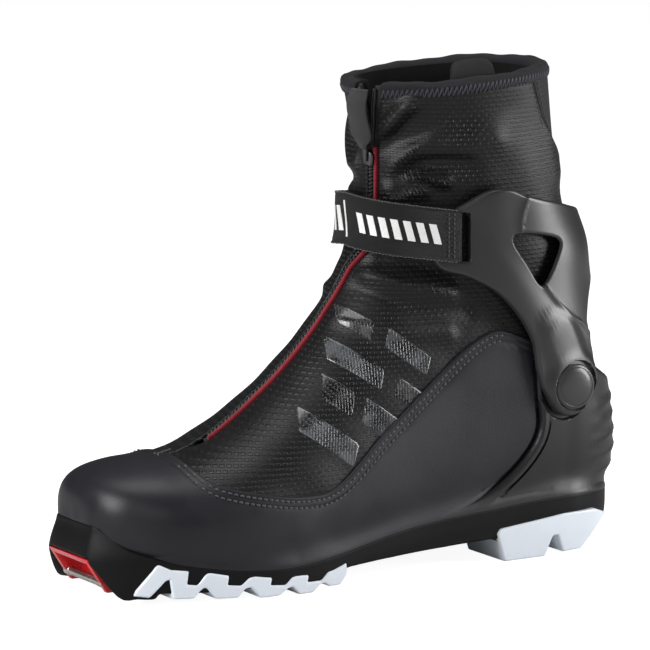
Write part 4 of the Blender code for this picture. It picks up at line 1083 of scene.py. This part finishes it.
def build_zip():
    """Tapes, coil, crimson piping, slider, bail and the ribbon that pulls it."""
    half = [(math.cos(t), math.sin(t)) for t in np.linspace(0, math.pi, 9)]
    piping = [(3.15 + 1.15 * c, -0.7 + 1.75 * s) for c, s in half] + [(2.0, -1.2), (4.3, -1.2)]
    along_zip("zip_piping", ZIP_TOP + 0.3, 2.0, piping, MAT_PIPING, "piping_red",
              ("piping_instep", "piping_collar"))
    tape = [(0.25, -2.7), (0.25, -1.7), (1.0, -1.55), (8.5, -1.75), (9, -2.3), (8.5, -2.8)]
    for name, label, side in (("outer", "lateral", 1), ("inner", "medial", -1)):
        along_zip(f"zip_tape_{name}", LAST_END - 0.1, 3.0, [(side * a, l) for a, l in tape], MAT_TAPE,
                  "tape_black", (f"zip_tape_instep_{label}", f"zip_tape_collar_{label}"), side)
    teeth = []
    for k, u in enumerate(ring_lines(ZIP_START + 0.1, LAST_END - 0.35, 1.15)):
        side = 1 if k % 2 else -1
        away = side * spread(u)
        a = skin(u, zip_phi(u, away - side * 0.55), -0.55)
        b = skin(u, zip_phi(u, away + side * 1.75), -0.75)
        teeth.append(stitch(a, b, normal_at(u, zip_phi(u, away)), 0.72))
    ob = bend(put_many("zip_coil_teeth", teeth, MAT_COIL, None, "coil_black"))
    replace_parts(ob, "zip_coil_instep", "zip_coil_collar")
    build_slider()


def rounded_bar(halves, low, high, radius, name):
    """Small rounded metal plate on the zip; halves are (section, half width) pairs."""
    rim = [(1.0, low), (1.0, high - radius), (0.86, high - 0.3 * radius), (0.6, high)]
    profile = [(-a, l) for a, l in rim] + rim[::-1]
    rings = [[skin(u, zip_phi(u, share * half), lift) for share, lift in profile] for u, half in halves]
    return put(name, *loft(rings), MAT_SLIDER, "slider", "slider_metal", sharp=40)


def build_slider():
    body = [(13.72, 2.1), (13.76, 2.6), (13.9, 2.9), (14.1, 3.2), (14.25, 3.4), (14.36, 3.1), (14.4, 2.6)]
    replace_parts(rounded_bar(body, 0.9, 2.9, 0.6, "zip_slider_body"), "zip_slider")
    bail = [(13.9, 0.7), (13.95, 0.9), (14.2, 1.0), (14.6, 1.5), (14.82, 1.6), (14.86, 1.3)]
    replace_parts(rounded_bar(bail, 2.7, 4.6, 0.5, "zip_slider_bail"), "zip_pull_bail")
    path = smooth([(14.55, 4.0), (14.8, 4.9), (15.1, 5.5), (15.6, 6.2), (16.2, 6.7), (16.8, 6.8), (17.4, 6.4),
                   (17.9, 5.5), (18.4, 4.3), (18.8, 3.2)], 4)
    profile = [(-1, 0.1), (-1, 0.9), (-0.9, 1.15), (0.9, 1.15), (1, 0.9), (1, 0.1), (0.9, 0), (-0.9, 0)]
    rings = []
    weave = []
    for u, lift in path:
        half = 2.0 + 3.6 * fade(u, 14.6, 15.5)
        shift = -1.2 * fade(u, 15.0, 18.0)
        for share, rise in profile:
            curl = 0.9 * share * share * fade(u, 15, 16)
            rings.append(skin(u, zip_phi(u, shift + share * half), lift + rise - curl))
            weave.append((share * half, 4.0 * u))
    verts, faces = loft(np.reshape(rings, (len(path), len(profile), 3)))
    ob = put("zip_puller_ribbon", verts, faces, MAT_RIBBON, "slider", "ribbon_grey", weave)
    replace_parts(ob, "zip_pull_ribbon")


# ---------------------------------------------------------------- collar rim and lining

def rim_slope(phi):
    u = np.full(np.shape(phi), LAST_END)
    return unit(last_point(u, phi) - last_point(u - 0.05, phi))


def rim_point(phi, lift, height):
    """Point at the collar's rim, height up along the wall's slope from it."""
    return skin(LAST_END, phi % ROUND, lift) + rim_slope(phi % ROUND) * height


def rim_turns(count):
    start = float(zip_phi(LAST_END, OUTER_EDGE + COLLAR_SPREAD))
    stop = float(zip_phi(LAST_END, -INNER_EDGE - COLLAR_SPREAD)) - ROUND
    return np.linspace(start, stop, count)


def build_binding():
    """Knitted binding rolled over the rim, with overlock stitches along its lower edge."""
    profile = [(-0.4, -4.8), (0.3, -5.0), (0.75, -4.6), (0.9, -2.5), (0.7, -0.6), (0.1, 0.4), (-1.0, 0.9),
               (-3.6, 0.9), (-5.6, 0.5), (-6.8, -0.6), (-7.2, -2.0), (-7.4, -4.6), (-7.0, -5.1), (-6.4, -4.9),
               (-6.0, -1.4), (-1.0, -1.2)]
    ways = rim_turns(180)
    run = run_length(last_point(LAST_END, ways % ROUND))
    rings = []
    weave = []
    for phi, r in zip(ways, run):
        sag = 0.35 * math.sin(r * 0.16) + 0.2 * math.sin(r * 0.41)
        for lift, height in profile:
            rings.append(rim_point(phi, lift, height + sag * (height > -2)))
            weave.append((r, height - lift))
    verts, faces = loft(np.reshape(rings, (len(ways), len(profile), 3)))
    ob = put("collar_binding_roll", verts, faces, MAT_BINDING, "cuff", "binding", weave)
    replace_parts(ob, "collar_binding")
    overlock = []
    phis = np.interp(np.linspace(0, run[-1], int(run[-1] / 2.3)), run, ways)
    for a, b in zip(phis, phis[1:]):
        high, up = rim_point(b, 0.95, -1.4), normal_at(LAST_END, a % ROUND)
        overlock.append(stitch(rim_point(a, 0.25, -6.0), high, up, 0.40))
        overlock.append(stitch(high, rim_point(b, 0.25, -6.0), up, 0.28))
    put_many("collar_overlock_thread", overlock, MAT_THREAD_LIGHT, "cuff", "binding")


def build_lining():
    """Padded lining, quilted in soft rings, and the knitted insole."""
    patch = Patch(ring_lines(8.6, LAST_END - 0.05, 2.2), turns(-math.pi, math.pi, 0.06))
    u, phi = patch[0], patch[1]
    edge = patch.add(np.abs((phi + ROUND) % ROUND - zip_centre(u)) * zip_size(u) - 2.0 - spread(u))
    lower = patch.add(patch.at()[:, 2] - 92)
    patch.keep(edge)
    patch.keep(lower)
    patch.split(edge, 0.6, 1.6)
    soft = edge_round(patch[edge], 2.4)
    quilt = 0.7 * np.abs(np.sin(patch.at()[:, 2] * math.pi / 17)) ** 0.6
    ob = bend(layer("lining_collar_pad", patch, LINER[1] - 0.2 - 1.4 * (1 - soft),
                    LINER[0] - (1.2 + quilt) * soft, MAT_LINING, "liner_grey", None, place=skin_round))
    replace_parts(ob, "liner_collar")
    patch = Patch(ring_lines(1.6, 14.5, 2.6), turns(0, ROUND, 0.08))
    upper = patch.add(within(patch.side(), FOOT_AREA))
    patch.keep(upper)
    patch.split(upper, 0.8, 2.0)
    soft = edge_round(patch[upper], 2.6)
    ob = layer("lining_foot_pad", patch, LINER[1] - 0.2 - 1.2 * (1 - soft), LINER[0] + 1.0 * (1 - soft),
               MAT_LINING, "liner_grey", "root")
    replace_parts(ob, "liner_foot")
    patch = Patch(ring_lines(2.8, 12.2, 2.0), turns(-0.82, 0.82, 0.05))
    ends = np.minimum(patch[0] - 2.85, 12.15 - patch[0]) * 1.2
    rim = patch.add(np.minimum(0.8 - np.abs(patch[1]), ends) * 20)
    patch.keep(rim)
    patch.split(rim, 0.5, 1.2)
    cup = 1.2 * fade(np.abs(patch[1]), 0.4, 0.8) * fade(patch[0], 9, 11.5)
    ob = layer("insole_board", patch, INSOLE[0] - cup, INSOLE[1] - 2.2 * (1 - edge_round(patch[rim], 1.5)),
               MAT_INSOLE, "insole_grey", "root", place=skin_round)
    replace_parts(ob, "insole")


def build_pull_tab():
    """Rounded webbing tab standing up inside the outer wall of the collar."""
    cols, rows, deep = 33, 24, 26
    phi = np.linspace(1.89, 1.42, cols)
    top = 8.5 * (1 - np.abs(np.linspace(-1, 1, cols)) ** 4.5) ** 0.5
    grids = []
    for lift, sign in ((-8.0, 1), (-9.7, -1)):
        for f in np.linspace(0, 1, rows):
            height = -deep + (top + deep) * f
            soft = 0.55 * sign * hump(top - height, 1.1)
            lean = -1.4 * fade(height, -4, 10)
            base = skin(np.full(cols, LAST_END), phi, lift - soft + lean)
            grids.append(base + rim_slope(phi) * height[:, None])
    verts, faces = slab(np.array(grids[:rows]), np.array(grids[rows:]))
    weave = [(0.9 * j, 1.5 * i) for i in range(2 * rows) for j in range(cols)]
    ob = put("pull_tab_loop", verts, faces, MAT_TAB, "cuff", "tab_grey", weave)
    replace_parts(ob, "pull_tab")


# ---------------------------------------------------------------- strap

HUB_X = 58.0
STRAP_OUTER = math.radians(246.0)
STRAP_INNER = math.radians(84.0)
STRAP_FRONT_Z = 167.0
STRAP_DROP = 7.0
STRAP_HALF = 12.5
STRAP_TUCK = 4.5

# Printed bars: distance from the outer slot, width, half height and lean, in millimetres.
STRAP_MARKS = [(11 + 6.2 * k, 3.6, 4.6, 2.6) for k in range(7)] + [
    (60.5, 1.2, 8.5, 3.0), (65.0, 4.6, 6.0, 4.0), (73.0, 3.0, 6.0, 4.0)]


class Strap:
    """The strap's surface: points by direction from a hub, height from its middle line, and lift."""

    def __init__(self):
        u, phi = np.meshgrid(np.linspace(8.0, LAST_END, 240), np.linspace(0, ROUND, 241)[:-1], indexing="ij")
        base, normal = last_point(u, phi), normal_at(u, phi)
        self.levels = np.linspace(140, 185, 16)
        self.lifts = np.array((STRAP[0] - 1.2, STRAP[0], STRAP[1], STRAP[1] + 1.5))
        self.ways = np.linspace(STRAP_INNER - 0.05, STRAP_OUTER + 0.05, 241)
        self.table = np.zeros((len(self.lifts), len(self.levels), len(self.ways), 2))
        for i, lift in enumerate(self.lifts):
            columns = np.moveaxis(base + normal * lift, 1, 0)
            for j, z in enumerate(self.levels):
                ring = np.array([self.level_point(column, z) for column in columns])
                angle = np.arctan2(ring[:, 1], ring[:, 0] - HUB_X) % ROUND
                order = np.argsort(angle)
                for k in range(2):
                    self.table[i, j, :, k] = np.interp(self.ways, angle[order], ring[order, k], period=ROUND)

    @staticmethod
    def level_point(column, z):
        """Where a line of points up the boot reaches a height."""
        heights = np.maximum.accumulate(column[:, 2])
        return np.interp(z, heights, column[:, 0]), np.interp(z, heights, column[:, 1])

    def point(self, turn, height, lift):
        turn, height, lift = np.broadcast_arrays(*(np.asarray(v, float) for v in (turn, height, lift)))
        z = STRAP_FRONT_Z - STRAP_DROP * np.abs(turn - math.pi) / (STRAP_OUTER - math.pi) + height
        whole, part = [], []
        for value, grid in ((lift, self.lifts), (z, self.levels), (turn, self.ways)):
            f = np.clip(np.interp(value, grid, np.arange(len(grid))), 0, len(grid) - 1.001)
            whole.append(f.astype(int))
            part.append(f - whole[-1])
        out = 0.0
        for steps in np.ndindex(2, 2, 2):
            share = np.prod([np.abs(1 - step - f) for step, f in zip(steps, part)], axis=0)
            out = out + share[..., None] * self.table[tuple(i + step for step, i in zip(steps, whole))]
        tuck = STRAP_TUCK * hump(turn - math.pi, 0.7) * (0.25 + 0.75 * fade(-height, -10, STRAP_HALF))
        out = out - tuck[..., None] * np.stack([np.cos(turn), np.sin(turn)], -1)
        return np.concatenate([out, z[..., None]], -1)


def build_strap():
    """Webbing strap with selvedges, a stitched end, and generic white bars printed on it."""
    strap = Strap()
    ways = np.linspace(STRAP_OUTER, STRAP_INNER, 220)
    run = run_length(strap.point(ways, 0.0, STRAP[1]))
    edge = [(-1.0, 0.0), (-1.0, 0.5), (-0.985, 0.9), (-0.95, 1.12), (-0.90, 0.9)]
    profile = edge + [(s, 1.0) for s in np.linspace(-0.85, 0.85, 11)] + [(-s, l) for s, l in edge[::-1]]
    profile += [(1.0, 0.0), (0, 0.0)]
    rings = []
    weave = []
    for share, level in profile:
        wave = 0.12 * np.sin(run * 1.3 + share * 4) * (abs(share) > 0.9)
        rings.append(strap.point(ways, share * STRAP_HALF + wave, STRAP[0] + (STRAP[1] - STRAP[0]) * level))
        weave.append(np.stack([run, np.full(len(run), share * STRAP_HALF)], 1))
    verts, faces = loft(np.stack(rings, 1))
    ob = put("ankle_strap", verts, faces, MAT_WEBBING, "strap_flap", "strap_black",
             np.stack(weave, 1).reshape(-1, 2))
    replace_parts(ob, "strap_flap")
    marks = [strap_mark(strap, ways, run, *mark) for mark in STRAP_MARKS]
    put_many("strap_print_bars", marks, MAT_INK, "strap_flap", "strap_black")
    build_strap_threads(strap, ways, run)


def strap_mark(strap, ways, run, start, width, half, lean):
    """One printed bar, a slanted block of ink a fifth of a millimetre proud of the webbing."""
    up, along = np.meshgrid(np.linspace(0, 1, 12), np.linspace(0, 1, 6), indexing="ij")
    turn = np.interp(start + width * along + lean * (up - 0.5), run, ways)
    return slab(*(strap.point(turn, half * (2 * up - 1), lift) for lift in (STRAP[1] + 0.22, STRAP[1] - 0.3)))


def strap_stitch(strap, start, end, lift, radius):
    """Stitch between two (direction, height) points of the strap."""
    p, q = strap.point(*start, lift), strap.point(*end, lift)
    return stitch(p, q, unit(p - np.array((HUB_X, 0, p[2]))), radius)


def build_strap_threads(strap, ways, run):
    """Selvedge yarns along both edges, and the box stitch by the slot."""
    yarns = []
    for sign in (-1, 1):
        for k, at in enumerate(np.arange(2.0, run[-1] - 2, 1.7)):
            a, b = np.interp((at, at + 1.5), run, ways)
            low, high = STRAP_HALF - 0.35, STRAP_HALF + 0.15 * (k % 3 - 1)
            yarns.append(strap_stitch(strap, (a, sign * low), (b, sign * high), STRAP[1] + 0.02, 0.20))
    put_many("strap_selvedge_yarn", yarns, MAT_FRAY, "strap_flap", "strap_black")
    stitches = []
    for turn in np.interp((3.5, 6.2), run, ways):
        for low in np.arange(-10.5, 10, 2.2):
            stitches.append(strap_stitch(strap, (turn, low), (turn, low + 1.6), STRAP[1] + 0.05, 0.26))
    put_many("strap_end_stitches", stitches, MAT_THREAD, "strap_flap", "strap_black")


# ---------------------------------------------------------------- print on the instep

# Generic slanted tiles of printed film on the outer instep: lower left corner, length, width, material.
TILES = [((-46, 74), 30, 11, MAT_FOIL), ((-14, 51), 15, 11, MAT_GLOSS), ((-31, 87), 14, 12, MAT_GLOSS),
         ((-15, 76), 34, 12, MAT_FOIL), ((-22, 104), 24, 10, MAT_FOIL), ((4, 86), 20, 10, MAT_GLOSS),
         ((-12, 119), 12, 9, MAT_GLOSS), ((3, 109), 24, 9, MAT_FOIL)]
TILE_RUN = (0.80, -0.60)
TILE_RISE = (0.36, 0.93)


def build_print():
    for k, (corner, length, width, finish) in enumerate(TILES):
        run, rise = np.array(TILE_RUN) * length, np.array(TILE_RISE) * width
        bar = np.array(corner) + np.array([(0, 0), run, run + rise, rise])
        patch = Patch(ring_lines(6.2, 11.8, 1.4), turns(1.2, 3.05, 0.03))
        edge = patch.add(within(patch.side(), bar))
        patch.keep(edge)
        patch.split(edge, 0.3)
        lift = folds(patch[0], patch[1]) + 0.03 + 0.12 * edge_round(patch[edge], 0.35)
        bend(layer(f"instep_print_tile_{k}", patch, lift, lift - 0.1, finish, "softshell"))


# ---------------------------------------------------------------- sole

def plan_curve():
    """Closed plan of the sole, outer side then inner side, with its outward normals, by arc length."""
    outer = smooth(SOLE_PLAN_OUTER, 10)
    inner = smooth(SOLE_PLAN_INNER, 10)
    line = np.vstack([outer * (1, -1), inner[::-1][1:]])
    run = run_length(line)
    s = np.linspace(0, run[-1], 1400)
    line = np.stack([np.interp(s, run, line[:, k]) for k in range(2)], 1)
    way = unit(np.gradient(line, axis=0))
    kernel = np.ones(21) / 21
    normal = unit(np.stack([np.convolve(np.pad(side, 10, "wrap"), kernel, "valid")
                            for side in (-way[:, 1], way[:, 0])], 1))
    normal[-1] = normal[0]
    if np.sum(normal[:, 0] * line[:, 0]) < 0:
        normal = -normal
    return s, line, normal


PLAN_S, PLAN, PLAN_OUT = plan_curve()


def wall(s, z, lift):
    """Point on the sole's wall, s along its plan, z up, standing out by lift."""
    x, y = (np.interp(s, PLAN_S, PLAN[:, k]) for k in range(2))
    nx, ny = (np.interp(s, PLAN_S, PLAN_OUT[:, k]) for k in range(2))
    return np.stack([x + nx * lift, y + ny * lift, z], -1)


def build_outsole():
    """Black sole: wall with a rounded lip, hood over the toe fitting, and its underside."""
    rand, under = smooth(RAND, 6), smooth(SOLE_UNDER, 4)
    patch = Patch(np.linspace(0, PLAN_S[-1], 620), np.linspace(2, 39, 42))
    at = wall(patch[0], patch[1], 0.0)
    edge = patch.add(within(at[:, [0, 2]], np.vstack([rand, under])))
    nose = patch.add(-np.minimum(within(at[:, [0, 2]], np.array(NOSE_ROOF)), NOSE_HALF - np.abs(at[:, 1])))
    patch.keep(edge)
    patch.keep(nose)
    patch.split(edge, 0.25, 0.7, 1.3, 2.0)
    patch.split(nose, 0.25, 0.7, 1.3)
    x, _, z = wall(patch[0], patch[1], 0.0).T
    top = np.interp(x, *rand.T) - z
    lift = -1.6 * (1 - edge_round(patch[edge], 1.3)) - 1.6 * (1 - edge_round(patch[nose], 1.2)) - 0.3
    lift = lift - 0.4 * fade(top, 6, 14) - nose_lean(x, z)
    ob = layer("outsole_wall", patch, lift, lift - 5.0, MAT_SOLE, "sole_black", "root", place=wall)
    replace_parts(ob, "outsole")
    xs = np.concatenate([np.linspace(-130, -28, 60), np.linspace(-27, 56, 30), np.linspace(57, 134, 50)])
    share = np.linspace(-1, 1, 61)
    x, f = np.meshgrid(xs, share, indexing="ij")
    outer, inner = (np.interp(xs, *smooth(plan, 6).T) - 3.0 - HEEL_LEAN * fade(xs, 104, 134)
                    for plan in (SOLE_PLAN_OUTER, SOLE_PLAN_INNER))
    y = np.where(f < 0, outer[:, None], inner[:, None]) * f
    low = np.interp(xs, *under[::-1].T)[:, None]
    rails = 1 - np.abs(np.clip((np.abs(y) - 10) / 2.6, -1, 1)) ** 6
    z = low + 2.2 * rails * fade(x, -126, -122) * fade(-28 - x, 0, 4)
    roof = np.broadcast_to(low + 5.0, x.shape)
    verts, faces = closed_between(*(np.stack([x, y, level], -1).reshape(-1, 3) for level in (z, roof)),
                                  Patch(xs, share).tris)
    put("outsole_underside", verts, faces, MAT_SOLE, "root", "sole_black")


def build_treads():
    """White lugs with rounded rims, cut back to the plan of the sole."""
    for kind, outline, back in (("lugs", FRONT_TREAD, TREAD_INNER), ("heel", HEEL_TREAD, HEEL_INNER)):
        for side, sign, plan in (("outer", -1, SOLE_PLAN_OUTER), ("inner", 1, SOLE_PLAN_INNER)):
            ob = lug_side(f"tread_{kind}_{side}", outline, smooth(plan, 12), sign, back)
            if ob.name in TREAD_NODES:
                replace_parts(ob, TREAD_NODES[ob.name])


def lug_side(name, outline, curve, sign, back):
    """Lugs of one side: a side view outline from the sole's plan in to a flat back."""
    outline = np.array(outline)
    low, high = outline.min(0), outline.max(0)
    patch = Patch(*(np.arange(low[k] - 1, high[k] + 2, 1.0) for k in range(2)))
    edge = patch.add(within(patch.data, outline))
    patch.keep(edge)
    patch.split(edge, 0.2, 0.5, 0.9)
    x, z = patch[0], patch[1]
    front = np.interp(x, *curve.T) + 0.45 - 0.9 * (1 - edge_round(patch[edge], 0.9))
    front = front - 0.05 * np.maximum(0, 12 - z)
    verts, faces = closed_between(*(np.stack([x, sign * y, z], -1) for y in (front, np.full(len(x), back))),
                                  patch.tris)
    return put(name, verts, faces, MAT_TREAD, "root", "tread_white", sharp=40)


def solid(name, outline, half):
    """Object of a side view outline drawn out across the boot, half to each side."""
    bm = bmesh.new()
    loops = [[bm.verts.new(tuple((np.array((x, y, z)) + SHIFT) * MM)) for x, z in outline]
             for y in (-half, half)]
    bm.faces.new(loops[0])
    bm.faces.new(loops[1][::-1])
    n = len(outline)
    for i in range(n):
        k = (i + 1) % n
        bm.faces.new((loops[0][i], loops[0][k], loops[1][k], loops[1][i]))
    bmesh.ops.recalc_face_normals(bm, faces=bm.faces)
    mesh = bpy.data.meshes.new(name)
    bm.to_mesh(mesh)
    bm.free()
    return add_object(name, mesh)


def build_toe_fitting():
    """Red insert with its bay, and the steel bar across it."""
    ob = solid("toe_insert_body", INSERT, INSERT_HALF)
    cutter = solid("bay_cut", INSERT_BAY, BAY_HALF)
    hollow = ob.modifiers.new("bay", "BOOLEAN")
    hollow.operation = "DIFFERENCE"
    hollow.solver = "EXACT"
    hollow.object = cutter
    soften = ob.modifiers.new("soften", "BEVEL")
    soften.width = 0.7 * MM
    soften.segments = 3
    soften.limit_method = "ANGLE"
    soften.angle_limit = math.radians(35)
    apply_modifiers(ob)
    bpy.data.objects.remove(cutter, do_unlink=True)
    finish_mesh(ob.data, MAT_RED, 40)
    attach(ob, "root")
    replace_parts(ob, "toe_insert")
    profile = [(0, -18.6), (1.9, -18.6), (2.3, -18.2), (2.3, -14.2), (2.05, -13.9), (2.05, 13.9), (2.3, 14.2),
               (2.3, 18.2), (1.9, 18.6), (0, 18.6)]
    verts, faces = lathe(profile, 40)
    bar = put("binding_bar", verts + (BAR_X, 0, BAR_Z), faces, MAT_STEEL, "root", "bar_steel", sharp=35)
    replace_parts(bar, "toe_bar")


def apply_modifiers(ob):
    """Replaces an object's mesh with the evaluated one and drops its modifiers."""
    graph = bpy.context.evaluated_depsgraph_get()
    mesh = bpy.data.meshes.new_from_object(ob.evaluated_get(graph))
    ob.modifiers.clear()
    ob.data = mesh


# ---------------------------------------------------------------- stage

def split_rays(tree, lit, seen, output):
    """Shows one shader to the camera and another to every other ray."""
    rays = tree.nodes.new("ShaderNodeLightPath")
    either = tree.nodes.new("ShaderNodeMixShader")
    for k, source in enumerate((rays.outputs["Is Camera Ray"], lit.outputs[0], seen.outputs[0])):
        tree.links.new(source, either.inputs[k])
    tree.links.new(either.outputs[0], tree.nodes[output].inputs["Surface"])


def build_stage():
    """Plain pale floor, and an even studio behind it."""
    mesh = bpy.data.meshes.new("floor")
    mesh.from_pydata([(-4, -4, 0), (4, -4, 0), (4, 4, 0), (-4, 4, 0)], [], [(0, 1, 2, 3)])
    net = Net("floor_white", (0.50, 0.50, 0.50), 0.8, Specular_IOR_Level=0.05, Emission_Color=(1, 1, 1, 1),
              Emission_Strength=0.93)
    net.gloss(net.scaled(net.noise(net.place(0.02), 2.0), 0.72, 0.8))
    split_rays(net.tree, net.node("ShaderNodeBsdfDiffuse", {"Color": (0.60, 0.60, 0.60, 1)}), net.bsdf,
               "Material Output")
    mesh.materials.append(net.mat)
    add_object("floor", mesh)
    world = bpy.data.worlds.new("studio")
    bpy.context.scene.world = world
    world.use_nodes = True
    ambient = world.node_tree.nodes["Background"]
    backdrop = world.node_tree.nodes.new("ShaderNodeBackground")
    for background, strength in ((ambient, 0.07), (backdrop, 1.0)):
        background.inputs["Color"].default_value = (1, 1, 1, 1)
        background.inputs["Strength"].default_value = strength
    split_rays(world.node_tree, ambient, backdrop, "World Output")


# Soft boxes: place, the point they face, width and height in metres, power in watts.
LIGHTS = {
    "key_left": ((-1.5, -0.1, 0.8), (0, 0, 0.1), (0.7, 1.0), 26),
    "top_soft": ((0.0, 0.2, 1.6), (0, 0, 0.12), (1.2, 0.9), 12),
    "side_right": ((1.25, -0.8, 0.42), (0.05, 0, 0.12), (0.5, 0.9), 21),
    "fill_front": ((-1.0, -1.7, 0.9), (0, 0, 0.1), (1.3, 0.9), 5),
}


def build_lights():
    for name, (place, target, size, power) in LIGHTS.items():
        data = bpy.data.lights.new(name, "AREA")
        data.shape = "RECTANGLE"
        data.size, data.size_y = size
        data.energy = power
        ob = add_object(name, data)
        ob.location = place
        ob.rotation_euler = (Vector(target) - Vector(place)).to_track_quat("-Z", "Y").to_euler()


VIEW_AZIMUTH = math.radians(31.0)
VIEW_ELEVATION = math.radians(9.3)
VIEW_DISTANCE = 2.1
VIEW_TARGET = Vector((-0.00525, 0.0015, 0.1155))


def build_camera():
    """View from the outer side, in front of and a little above the boot."""
    level = math.cos(VIEW_ELEVATION)
    away = Vector((-math.sin(VIEW_AZIMUTH) * level, -math.cos(VIEW_AZIMUTH) * level, math.sin(VIEW_ELEVATION)))
    data = bpy.data.cameras.new("camera")
    data.sensor_width = 36.0
    data.lens = 244.2
    data.shift_x = -0.0108
    data.shift_y = 0.0015
    data.clip_end = 50.0
    ob = add_object("camera", data)
    ob.location = VIEW_TARGET + away * VIEW_DISTANCE
    ob.rotation_euler = (-away).to_track_quat("-Z", "Y").to_euler()
    bpy.context.scene.camera = ob


for build in (build_camera, build_stage, build_lights, build_softshell, build_rear_panel, build_wrap,
              build_counter, build_cuff, build_pivot_caps, build_zip, build_binding, build_lining,
              build_pull_tab, build_strap, build_print, build_outsole, build_treads, build_toe_fitting):
    build()
bpy.context.scene.view_settings.view_transform = "Standard"
